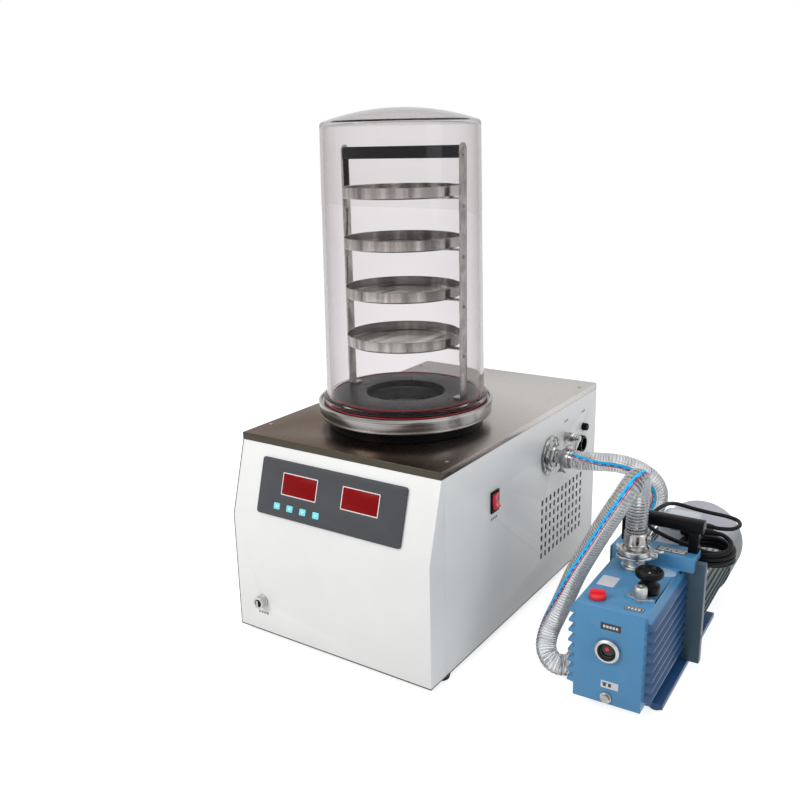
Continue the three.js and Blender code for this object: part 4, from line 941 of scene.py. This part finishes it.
dressed("fuse_cap", 0.5, black_moulded, "fuse_cap", segments=3)
inlet_frame = cabinet_frame @ shift(side_face, 568, 258) @ to_right
mouth = turned_piece([
    (0, -20), (14, -20), (14, 0.3), (17, 0.3), (17, 8), (15.5, 9.3), (13.2, 9.3), (12, 8.2),
    (12, -4.7), (0, -4.7),
], [0, 0.5, 0, 0.8, 1.2, 0.8, 0.6, 0.6, 0.4, 0], 64)
placed("mains_inlet_moulding", moved(mouth, inlet_frame), black_moulded, node="mains_inlet")
pins = []
for x, y in ((-4.5, -4), (-4.5, 4), (5, 0)):
    pin = turned_piece([(0, -5), (1.7, -5), (1.7, 4), (0, 4.6)], [0, 0, 0.7, 0], 20)
    pins.append(moved(pin, shift(x, y, 0)))
placed("mains_inlet_pins", moved(gathered(*pins), inlet_frame), bright_metal)


# ---------------------------------------------------------------------------
# Refrigeration inside the cabinet: the drawn stainless cold trap with its copper coil, the
# black compressor, and the dark condenser with its fan behind the grille.
tower_frame = cabinet_frame @ shift(6, 239, 0)
trap_steel = textured("drawn_stainless", (248, 248, 248), 0.3, 1.0, grain=90, relief=0.02)
copper_tube = textured("copper_tube", (190, 120, 76), 0.3, 1.0, grain=120, relief=0.05)
black_enamel = textured("black_enamel", (14, 14, 16), 0.45, grain=300, relief=0.2, shine=0.2)
well = turned_piece([
    (0, 218), (108.5, 218), (108.5, 381), (131, 381), (131, 383), (107, 383), (107, 219.5), (0, 219.5),
], [0, 6, 1, 0.6, 0.6, 3, 5, 0], 96)
placed("cold_trap_drawn", moved(well, tower_frame), trap_steel, node="cold_trap")
# The condenser's black enamel is partly its own finish and partly painted shade: it darkens the grille's
# slots as the shade inside the cabinet would.
for node, finish in (
    ("evaporator_coil", copper_tube),
    ("compressor", black_enamel),
    ("condenser", black_enamel),
    ("condenser_fan", black_moulded),
):
    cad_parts[node].material_slots[0].material = finish


# ---------------------------------------------------------------------------
# Drying chamber base: a black moulded collar on the top plate, the turned aluminium ring
# with its faint groove, and the red silicone seal: a flat ring under the jar and a thin
# bead round the rack's base.
# Painted reflection: broad tone patches, drawn out round the ring into horizontal bands, stand in for the
# bands of light and dark that it reflects.
polished_aluminium = textured(
    "turned_aluminium", (146, 143, 140), 0.2, 1.0, grain=60, stretch=(0.2, 0.2, 8), relief=0.01,
    spread=0.05, tone=0.45, patches=60, drawn=(0.1, 0.1, 2.4),
)
silicone = textured("red_silicone", (168, 34, 36), 0.45, grain=300, relief=0.1)
collar = spun(rounded([
    (109.5, 365.3), (137, 365.3), (137, 376.7), (140.5, 377.7), (140.5, 380.7), (109.5, 380.7),
], 0.7), 96)
collar = moved(collar, tower_frame)
placed(
    "chamber_collar_moulding", collar, black_moulded, node="chamber_collar",
)
ring = spun(rounded([
    (73, 383.3), (150.5, 383.3), (152.6, 385.6), (152.6, 388.3), (151.8, 388.8), (151.8, 389.6), (153, 390),
    (153, 404), (154.2, 404.6), (154.2, 410.2), (152.6, 410.9), (149.5, 410.6), (148.4, 408.3), (73, 408.3),
], [1, 1, 0.8, 0.3, 0.3, 0.3, 0.3, 0.4, 0.4, 0.9, 0.7, 0.7, 0.3, 1]), 128)
ring = moved(ring, tower_frame)
placed("chamber_ring_turned", ring, polished_aluminium, node="chamber_ring")
seal = gathered(
    spun(rounded([(130, 408.6), (144, 408.6), (144, 410.9), (130, 410.9)], 0.9), 96),
    spun(rounded([(128.1, 419), (130.6, 419), (130.6, 421.4), (128.1, 421.4)], 0.8), 96),
)
placed("jar_seal_ring", moved(seal, tower_frame), silicone, node="jar_seal")


# ---------------------------------------------------------------------------
# Bell jar: clear cast acrylic, a tall tube with a foot ring, a slight taper and a low
# rounded crown. The acrylic absorbs a little light, and a painted reflection darkens its
# colour where it is seen along its wall.
clear_acrylic, acrylic_shader = surface("clear_acrylic", (0.97, 0.965, 0.97), 0.02)
acrylic_shader.inputs["Transmission Weight"].default_value = 1.0
acrylic_shader.inputs["IOR"].default_value = 1.22
acrylic_depth = new_node(
    clear_acrylic, "VolumeAbsorption", {"Color": (0.62, 0.57, 0.57, 1), "Density": 60},
)
# Painted reflection: the base colour turns nearly black where the wall is seen edge-on. This stands in for
# the dark surroundings it reflects there.
facing = new_node(clear_acrylic, "LayerWeight")
near_edge = new_node(clear_acrylic, "Math", {1: 3.5}, "POWER")
edge_dark_reflection = colour_mix(clear_acrylic, (0.97, 0.965, 0.97), (0.06, 0.04, 0.035))
wired(
    clear_acrylic,
    (facing, "Facing", near_edge, 0),
    (near_edge, 0, edge_dark_reflection, 0),
    (edge_dark_reflection, 2, acrylic_shader, "Base Color"),
    (acrylic_depth, 0, clear_acrylic.node_tree.nodes["Material Output"], "Volume"),
)


def crown(edge, top, sphere, count=14):
    """The points of a low dome from its edge to the axis."""
    radii = [edge * (count - k) / count for k in range(count + 1)]
    return [(r, top - sphere + math.sqrt(sphere ** 2 - r ** 2)) for r in radii]


dome = crown(122, 900.4, 403)
hollow = crown(118, 895.4, 398)[::-1]
jar_foot = rounded(
    [(133.3, 411.2), (145, 411.2), (145, 418.9), (139.5, 419.4)], [0, 1, 1.5, 0], 3, closed=False,
)
jar_outside = rounded(
    [(139.5, 418.9), (133, 877.8), *dome], [0, 12] + [0] * len(dome), 8, closed=False,
)
jar_inside = rounded(
    [*hollow, (128, 874.3), (133.3, 411.2)], [0] * len(hollow) + [8, 0], 8, closed=False,
)
jar = moved(spun([*jar_foot, *jar_outside[1:], *jar_inside[:-1]], 128), tower_frame)
placed("bell_jar_clear", jar, clear_acrylic, smooth=40, node="bell_jar")


# ---------------------------------------------------------------------------
# Drying rack: a black base ring with a wide bore, two stainless strips as posts with four
# straps bolted across them, a black bar at the top, and four loose pressed trays.
strip_steel = textured(
    "rolled_stainless", (172, 169, 166), 0.3, 1.0, grain=70, stretch=(12, 12, 1), relief=0.05,
    spread=0.08, tone=0.25, streaked=True, patches=40,
)
base_ring = spun(rounded([(70, 408.6), (128, 408.6), (128, 420.6), (70, 420.6)], [1, 1, 2, 1.5]), 96)
placed("rack_base_moulding", moved(base_ring, tower_frame), black_moulded, node="rack_base")
dressed("tray_rack", 0.35, strip_steel)
dressed("rack_top_bar", 0.9, black_moulded, segments=3)

post_face = 119
rack_sides = ((-post_face, to_left), (post_face, to_right))
rack_screws = []
for height in (494.8, 579.5, 661.8, 743.4):
    for x, turn in rack_sides:
        rack_screws.append(moved(cross_screw(3.2, 1.6), shift(x, 0, height), turn))
for x, turn in rack_sides:
    for height in (824, 833.5):
        rack_screws.append(moved(cross_screw(2.6, 1.4), shift(x, 0, height), turn))
placed("rack_screws", moved(gathered(*rack_screws), tower_frame), bright_metal)

# Painted reflection: strong tone patches, drawn out into upright streaks, stand in for the streaks of light
# and dark that the pressed rims reflect.
pressed_steel = textured(
    "pressed_stainless", (176, 172, 167), 0.2, 1.0, grain=30, stretch=(1, 1, 20), relief=0.006,
    spread=0.06, tone=0.6, patches=55, drawn=(1, 0.12, 0.04),
)
for number in (1, 2, 3, 4):
    name = "tray_%d" % number
    low = 1000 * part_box(name)[0].z
    pan = rounded([
        (0, 0), (98, 0), (100, 2), (100, 18), (98.2, 18), (98.2, 16.5), (98.8, 16), (98.8, 2.8),
        (97.2, 1.2), (0, 1.2),
    ], [0, 1.5, 1.5, 0.8, 0.8, 0.3, 0.3, 1.2, 1.2, 0], 3, closed=False)
    shape = moved(spun(pan, 96, closed=False), tower_frame, shift(0, 0, low))
    placed(name + "_pressed", shape, pressed_steel, node=name)


# ---------------------------------------------------------------------------
# Pump base, oil box and stand: cast iron and plate, painted blue and grey-blue. The oil box
# has eight fins down both sides, and the pump's head stands on its back end.
pump_frame = pump_matrix @ millimetres
blue_enamel = textured("blue_enamel", (72, 134, 176), 0.38, grain=220, relief=0.3, spread=0.06, tone=0.04)
# Painted shade: the pump's right flank is a darker blue below 167 mm.
flank_way = (pump_matrix.to_3x3() @ Vector((1, 0, 0))).normalized()
flank = flank_way.dot(pump_matrix.translation)
flank_shade = (flank_way, flank + 0.1062, flank + 0.1085)
faded(blue_enamel, (38, 79, 122), flank_shade, ((0, 0, -1), -0.17, -0.167))
dressed("pump_base", 1.2, blue_enamel, segments=3)
dressed("oil_box", 0.9, blue_enamel, segments=2)
stand_enamel = textured("stand_enamel", (42, 73, 87), 0.42, grain=260, relief=0.3, spread=0.06)
dressed("pump_stand", 1.2, stand_enamel, segments=3)


# ---------------------------------------------------------------------------
# Oil sight glass, drain plug and filler cap: a satin steel ring with a black bezel round the
# window, a bright plated hexagon plug under it, and a red moulded cap with a grip.
sight_x = 52.7
sight_frame = pump_frame @ shift(sight_x, 0, 113) @ to_front
ring = spun(rounded([
    (12.2, -7), (12.2, 0.3), (19, 0.3), (19, 5.3), (16.6, 7.3), (14, 7.3), (12.6, 5), (10.4, 3), (10.4, -7),
], [0, 0, 0.6, 1.4, 1.4, 1, 1, 0.5, 0]), 64)
bezel = spun(rounded([(10.5, 2.6), (14.6, 6.6), (14.2, 7.7), (12.4, 7.5), (10.2, 4.4)], 0.4, 2), 64)
placed("sight_glass_ring", moved(ring, sight_frame), satin_metal, node="sight_glass")
placed("sight_glass_bezel", moved(bezel, sight_frame), rubber_grain)
window_glass = textured(
    "sight_window", (34, 34, 34), 0.12, grain=90, relief=0.02, tone=0.8, shine=0.4, patches=160,
)
window = turned_piece([(0, -6.5), (10.7, -6.5), (10.7, 2.4), (6, 3.4), (0, 3.8)], [0, 0, 0.8, 3, 0], 48)
placed("sight_glass_window", moved(window, sight_frame), window_glass)
oil_dot = turned_piece([(0, 3), (3.2, 3), (3.2, 4.1), (0, 4.2)], [0, 0, 0.3, 0], 32)
oil_dot = moved(oil_dot, sight_frame, shift(0, 3.4, 0))
placed("sight_glass_level_dot", oil_dot, red_moulded)

plug_frame = pump_frame @ shift(sight_x, 0, 33) @ to_front
washer = turned_piece([(0, 0.3), (9, 0.3), (9, 2.3), (0, 2.3)], [0, 0.4, 0.6, 0], 48)
hexagon = block(round_outline(7.5, 6), 2.3, 6.3, 0.6)
drain_plug = moved(gathered(washer, hexagon), plug_frame)
placed("drain_plug_hexagon", drain_plug, bright_metal, node="drain_plug")

cap_body = turned_piece([
    (0, -7), (8, -7), (8, 0.3), (12.4, 0.3), (13, 1.5), (13, 7.4), (0, 9.4),
], [0, 0.5, 0, 0.4, 0.5, 2.2, 0], 48)
grip = block(rectangle(-11.4, -3.2, 11.4, 3.2, 2.6), 6, 13.6, 1.4, 50, 3)
cap_turn = rotation(20, "Z")
filler = moved(gathered(cap_body, grip), pump_frame, shift(25, 25, 181), cap_turn)
placed("filler_cap_moulding", filler, red_moulded, "filler_cap", node="filler_cap")


# ---------------------------------------------------------------------------
# Exhaust filter and gas-ballast knob: a black mushroom cap with a dished top on its waisted
# body, and a silver knurled knob on its two-eared plate.
exhaust_place = shift(86, 78, 0)
ballast_x, ballast_y = 83, 47
cap = turned_piece([
    (0, 181.3), (15, 181.3), (16.8, 184), (16.8, 193.5), (12.4, 198), (12.4, 205), (20, 208.6),
    (21.5, 210.6), (21.5, 215.6), (19.8, 218), (17.4, 217.4), (15.4, 213), (9, 211.2), (0, 211),
], [0, 0.8, 2, 3, 2, 2, 1.5, 1, 1.4, 1, 1, 2, 2, 0], 72)
cap = moved(cap, pump_frame, exhaust_place)
placed("exhaust_cap_moulding", cap, black_moulded, node="exhaust_cap")
knob_grip = block(round_outline([9.5, 10] * 36, 72), 5, 15.5, 0.25, 50, 1)
knob_core = turned_piece([
    (0, -6), (5, -6), (5, 0.3), (9.3, 0.3), (9.3, 16.5), (8, 18), (2.5, 18), (2, 17.2), (0, 17.2),
], [0, 0, 0, 0.8, 1.2, 1, 0.4, 0.4, 0], 48)
knob = moved(gathered(knob_grip, knob_core), pump_frame, shift(ballast_x, ballast_y, 186))
placed(
    "ballast_knob_turned", knob, satin_metal, "ballast_knob", node="ballast_knob",
)


# ---------------------------------------------------------------------------
# Plates and small fittings on the pump, all bare or with plain bars: two on its front, a
# label, a pad and a framed caption on top, the rating plate on the head, and a rubber plug.
plate_dark = textured("plate_dark", (34, 36, 40), 0.4, grain=300, relief=0.03)
plate_pale = textured("plate_pale", (206, 208, 210), 0.36, grain=300, relief=0.03)
front_frame = pump_frame @ to_front


def plated(left, low, right, high, base, edge=0.8, thick=0.5):
    """A thin plate with small round corners, standing on this level."""
    return block(rectangle(left, low, right, high, edge), base, base + thick, 0.12, 50, 1)


def bar_row(left, low, width, height, count, pitch, base):
    """A row of thin printed bars at this level."""
    starts = [left + k * pitch for k in range(count)]
    bars = [rectangle(start, low, start + width, low + height) for start in starts]
    return gathered(*[pushed(bar, base, base + 0.08) for bar in bars])


dark_shapes = [
    moved(plated(40, 146, 71, 157, -0.1), front_frame),
    moved(bar_row(47.5, 52, 4.6, 6, 2, 8, 0.38), front_frame),
    moved(bar_row(46.2, 57.2, 1.6, 1.6, 3, 3.2, 0.38), front_frame),
    moved(plated(69, 11, 98, 24, 180.96, 3, 0.4), pump_frame),
    moved(plated(64, 184, 113, 203, 202.96, 0.6, 0.35), pump_frame),
]
placed("pump_plates_dark", gathered(*dark_shapes), plate_dark)
frame_hole = rectangle(71.2, 13.2, 95.8, 21.8, 1.8)
pale_shapes = [
    moved(plated(44, 49, 71, 61, -0.1), front_frame),
    moved(bar_row(44, 149.5, 3.4, 4, 5, 4.8, 0.38), front_frame),
    moved(plated(8, 66, 35, 101, 180.96, 1.5, 0.3), pump_frame),
    moved(pushed(rectangle(70.4, 12.4, 96.6, 22.6, 2.2), 181.3, 181.42, [frame_hole]), pump_frame),
    moved(bar_row(73.6, 15, 3.6, 5, 4, 5.2, 181.34), pump_frame),
    moved(bar_row(67, 198, 8.5, 2.4, 5, 9, 203.28), pump_frame),
    moved(bar_row(67, 193, 12, 2.4, 3, 15, 203.28), pump_frame),
    moved(bar_row(67, 187.5, 20, 3, 2, 22, 203.28), pump_frame),
]
placed("pump_plates_pale", gathered(*pale_shapes), plate_pale)
pad = block(round_outline(23, 48, 84, 153, deep=15), 180.9, 182.2, 0.5)
pad_blue = textured("pad_blue", (150, 174, 198), 0.4, grain=260, relief=0.15)
placed("pump_top_pad", moved(pad, pump_frame), pad_blue)
side_plug = turned_piece(
    [(0, -1), (6, -1), (6, 1.6), (4.6, 3), (2, 3), (1.6, 2), (0, 2)],
    [0, 0, 0.6, 0.8, 0.4, 0.3, 0], 32,
)
side_plug = moved(side_plug, pump_frame, shift(105.4, 177, 171), to_right)
placed("pump_side_plug", side_plug, rubber_grain)

ear_reach = [6.3 + 15 * abs(math.cos(math.tau * k / 64)) ** 3 for k in range(64)]
ear_outline = round_outline(ear_reach, 64, ballast_x, ballast_y, deep=8.4)
knob_hole = round_outline(5.4, 32, ballast_x, ballast_y)
ears = block(ear_outline, 181.05, 186.22, 0.5, 50, holes=[knob_hole])
ear_places = [shift(ballast_x + reach, ballast_y, 186.2) for reach in (-15.6, 15.6)]
ear_screws = [moved(cross_screw(2.8, 1.4), pump_frame, place) for place in ear_places]
placed("ballast_plate", moved(ears, pump_frame), satin_metal)
placed("ballast_plate_screws", gathered(*ear_screws), bright_metal)
exhaust_stud = turned_piece([(0, 210.5), (2.2, 210.5), (2.2, 213.6), (0, 214.4)], [0, 0, 0.8, 0], 24)
exhaust_stud = moved(exhaust_stud, pump_frame, exhaust_place)
placed("exhaust_cap_stud", exhaust_stud, bright_metal)
stand_screws = []
for u, turn in ((143, to_right), (-13, to_left)):
    for z in (178, 60):
        stand_screws.append(moved(cross_screw(3, 1.8), pump_frame, shift(u, 197.3, z), turn))
placed("pump_stand_screws", gathered(*stand_screws), bright_metal)


# ---------------------------------------------------------------------------
# Suction pipe: satin metal with a foot flange on the box, a clamped flange joint half way
# up, and the coupling that the hose is pushed on.
pipe_place = shift(pipe_x, pipe_y, 0)
cast_metal = textured(
    "satin_cast_metal", (190, 189, 187), 0.33, 1.0, grain=400, relief=0.05, tone=0.3, patches=80,
)
pipe = turned_piece([
    (0, 181.3), (22, 181.3), (22, 186.3), (18, 186.8), (16.8, 188), (16.8, 203), (20, 205.5), (20, 213),
    (14.5, 215), (14.5, 221), (17.5, 221.6), (17.5, 243), (0, 243),
], [0, 0.5, 1.2, 1, 1, 2, 1.2, 1.2, 1, 0.5, 1, 0.8, 0], 72)
pipe = moved(pipe, pump_frame, pipe_place)
placed("suction_pipe_turned", pipe, cast_metal, node="suction_pipe")
lobe_reach = [20.6 + 9.5 * max(0, math.cos(2 * math.tau * k / 96)) ** 2 for k in range(96)]
lobe_holes = [
    round_outline(2.6, 20, x, y) for x, y in ((25.2, 0), (0, 25.2), (-25.2, 0), (0, -25.2))
]
lobed = block(
    round_outline(lobe_reach, 96), 197.5, 202, 0.5, 50, holes=[round_outline(16.9, 48), *lobe_holes],
)
lobed = moved(lobed, pump_frame, pipe_place, rotation(25, "Z"))
placed("suction_lobed_plate", lobed, cast_metal)
clamp_band = spun(rounded([(20.3, 205), (25.3, 205.6), (25.3, 214.4), (20.3, 215)], 0.9, 3), 72)
hinge = block(rounded([(-31.5, -5), (-24, -6), (-24, 6), (-31.5, 5)], 2.5), 205.6, 214.4, 0.5, 50)
ears = block(rounded([(24, -8), (37, -6), (37, 6), (24, 8)], 2.5), 206, 214, 0.6, 50)
bolt = turned_piece(
    [(0, -13), (4, -13), (4, -9.5), (2.2, -9.2), (2.2, 12), (0, 12)], [0, 0.6, 0.5, 0.2, 0.4, 0], 24,
)
wing_nut = block(rounded([
    (-10, 4), (-4, -1.5), (4, -1.5), (10, 4), (8, 6.5), (2.5, 3), (-2.5, 3), (-8, 6.5),
], 1.5, 3), -1.3, 1.3, 0.4, 50)
bolted = gathered(bolt, moved(wing_nut, shift(0, 0, 10), to_front))
bolted = moved(bolted, shift(32, 0, 210), to_back)
clamp = moved(gathered(clamp_band, hinge, ears, bolted), pump_frame, pipe_place)
placed("flange_clamp_cast", clamp, cast_metal, node="flange_clamp")
ferrule = spun(rounded([
    (17.6, 222), (19.6, 222), (19.6, 224), (19, 225), (19, 241), (18.2, 243), (17.6, 243),
], 0.6, 3), 72)
lug = block(rectangle(18, -4.5, 25, 4.5, 1.5), 228, 238, 0.8, 50)
lug_screw = moved(cross_screw(3.2, 1.6), shift(22, -4.5, 233), to_front)
ferrule = moved(gathered(ferrule, lug, lug_screw), pump_frame, pipe_place)
placed("suction_hose_ferrule", ferrule, bright_metal)


# ---------------------------------------------------------------------------
# Handle: one black moulding over the pump's head, a bar with well rounded edges and flat
# ends, on two square legs.
along_x = Matrix(((0, 0, 1, 0), (1, 0, 0, 0), (0, 1, 0, 0), (0, 0, 0, 1)))
bar = block(rectangle(-11.5, 237.5, 11.5, 258.5, 8), 0, 134, 1.2, 50, 3)
bar = moved(bar, shift(0, 205, 0), along_x)
legs = [block(rectangle(u, 197, u + 16, 213, 1.5), 203.3, 240, 0.8, 50) for u in (3, 111.5)]
handle = moved(gathered(bar, *legs), pump_frame)
placed("pump_handle_moulding", handle, black_moulded, node="pump_handle")


# ---------------------------------------------------------------------------
# Motor: rolled steel frame painted pale grey with shallow cooling ribs, a foot under it, a
# drawn cowl over the fan at its back end, and the terminal box on its flat seat.
motor_enamel = textured("motor_enamel", (172, 170, 178), 0.4, grain=240, relief=0.25, spread=0.06)
# Painted shade: the enamel turns dark green-grey on the lower right of the frame and the cowl.
faded(motor_enamel, (70, 86, 84), ((0.8, 0, -0.6), 0.186, 0.208))
motor_frame = pump_frame @ shift(65, 0, 97)
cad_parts["motor_fan"].material_slots[0].material = black_moulded
dressed("motor_frame", 0.8, motor_enamel, segments=2, angle=40)
cup = spun(rounded([
    (73.3, 402), (76.5, 402), (76.5, 502), (71.1, 513.2), (57.4, 518), (22, 518), (22, 516.2), (56.6, 516.2),
    (69.3, 511.4), (74.7, 500.2), (74.7, 443), (73.3, 441),
], [0.4, 0.8, 8, 5, 6, 0.4, 0.4, 5, 5, 7, 0.5, 0.5]), 96)
cup = moved(cup, motor_frame, to_back)
placed("fan_cowl_drawn", cup, motor_enamel, node="fan_cowl")
ribs = []
for side in (-1, 1):
    for degrees in range(-58, 7, 8):
        rib = pushed(rectangle(70, -1, 75.5, 1, 0.5), 212, 397)
        turn = rotation(degrees if side > 0 else 180 - degrees, "Y")
        ribs.append(moved(rib, motor_frame, turn, to_back))
# Painted shade: the ribs take the same dark green-grey as the shaded lower right of the motor.
rib_painted_shade = textured("rib_painted_shade", (74, 86, 88), 0.45, grain=240, relief=0.3, spread=0.06)
placed("motor_ribs", gathered(*ribs), rib_painted_shade)
cowl_screws = []
for degrees in (45, 135, 225, 315):
    turn = rotation(degrees, "Y") @ shift(76.3, 409, 0) @ to_right
    cowl_screws.append(moved(cross_screw(3, 1.5), motor_frame, turn))
placed("fan_cowl_screws", gathered(*cowl_screws), bright_metal)


# ---------------------------------------------------------------------------
# Terminal box: moulded pale grey housing with its lid held by four screws, and a plated
# gland nut with a tapered rubber relief where the lead comes out.
def lofted(levels):
    """A closed shape through outlines of one count, each at its height."""
    bm = bmesh.new()
    rings = []
    for outline, height in levels:
        rings.append([bm.verts.new((point[0], point[1], height)) for point in outline])
    for ring, above in zip(rings, rings[1:]):
        for k in range(len(ring)):
            after = (k + 1) % len(ring)
            bm.faces.new((ring[k], ring[after], above[after], above[k]))
    bm.faces.new(rings[0])
    bm.faces.new(rings[-1])
    bmesh.ops.recalc_face_normals(bm, faces=bm.faces)
    return bm


box_grey = textured("terminal_moulding", (184, 192, 197), 0.22, grain=500, relief=0.06)
levels = []
for inset, radius, height in (
    (0.8, 8, 173.3), (0.2, 8.5, 173.8), (0.2, 8.5, 194.4), (1, 8, 194.8), (1, 8, 195.6), (0, 9, 196),
    (0, 9, 201.5), (0.9, 8.5, 204.8), (2.8, 8, 207.2), (5.5, 7, 208.6), (9, 6, 209),
):
    low_corner = (box_left + inset, box_front + inset)
    high_corner = (box_right - inset, box_back - inset)
    levels.append((rectangle(*low_corner, *high_corner, radius), height))
box = moved(lofted(levels), pump_frame)
placed("terminal_box_moulding", box, box_grey, smooth=50, node="terminal_box")
lid_places = [shift(u, v, box_top - 0.5) for u in (44, 86) for v in (313, 349)]
lid_screws = [moved(cross_screw(2.6, 0.6), pump_frame, place) for place in lid_places]
placed("terminal_box_screws", gathered(*lid_screws), bright_metal)
gland_frame = pump_frame @ shift(box_right, gland_y, gland_z) @ to_right
nut = block(round_outline(8.6, 6), -0.5, 6, 0.8, 40)
dome = turned_piece([(0, 5.5), (7.6, 5.5), (7.4, 8), (5.6, 10.5), (0, 10.8)], [0, 0.4, 2, 2, 0], 40)
placed("terminal_gland_nut", moved(gathered(nut, dome), gland_frame), chrome)
relief = turned_piece([(0, 9), (5.6, 9), (5.3, 13), (4.4, 22), (0, 22)], [0, 0.6, 1, 0.8, 0], 32)
placed("terminal_gland_relief", moved(relief, gland_frame), rubber)


# ---------------------------------------------------------------------------
# Plug on the pump lead: moulded black rubber with a tapered relief, and three plated blades.
# It lies on top of the coil.
plug_frame = pump_frame @ shift(98, 285, coil_middle + 24.3)
levels = []
for inset, height in ((2.6, -9.5), (0.9, -8.6), (0, -6.6), (0, 6.6), (0.9, 8.6), (2.6, 9.5)):
    levels.append((rectangle(-19 + inset, -15 + inset, 19 - inset, 15 - inset, 7 - inset), height))
collars = []
for k in range(5):
    low = 18 + 4.2 * k
    wide = 6.5 - 0.5 * k
    collars += [(wide, low), (wide - 0.1, low + 3.2), (wide - 1.1, low + 3.4), (wide - 1.1, low + 4)]
taper = turned_piece([(0, 17), *collars, (4, 41), (0, 41)], 0.25, 32)
plug = moved(gathered(lofted(levels), moved(taper, to_right)), plug_frame)
plug_body = placed("pump_plug_moulding", plug, rubber, node="pump_plug")
blades = []
for y, z in ((-7, -4), (7, -4), (0, 5)):
    blades.append(block(rectangle(-36, y - 3, -18, y + 3), z - 0.9, z + 0.9, 0.4))
blades = moved(gathered(*blades), plug_frame)
plug_blades = placed("pump_plug_blades", blades, bright_metal)
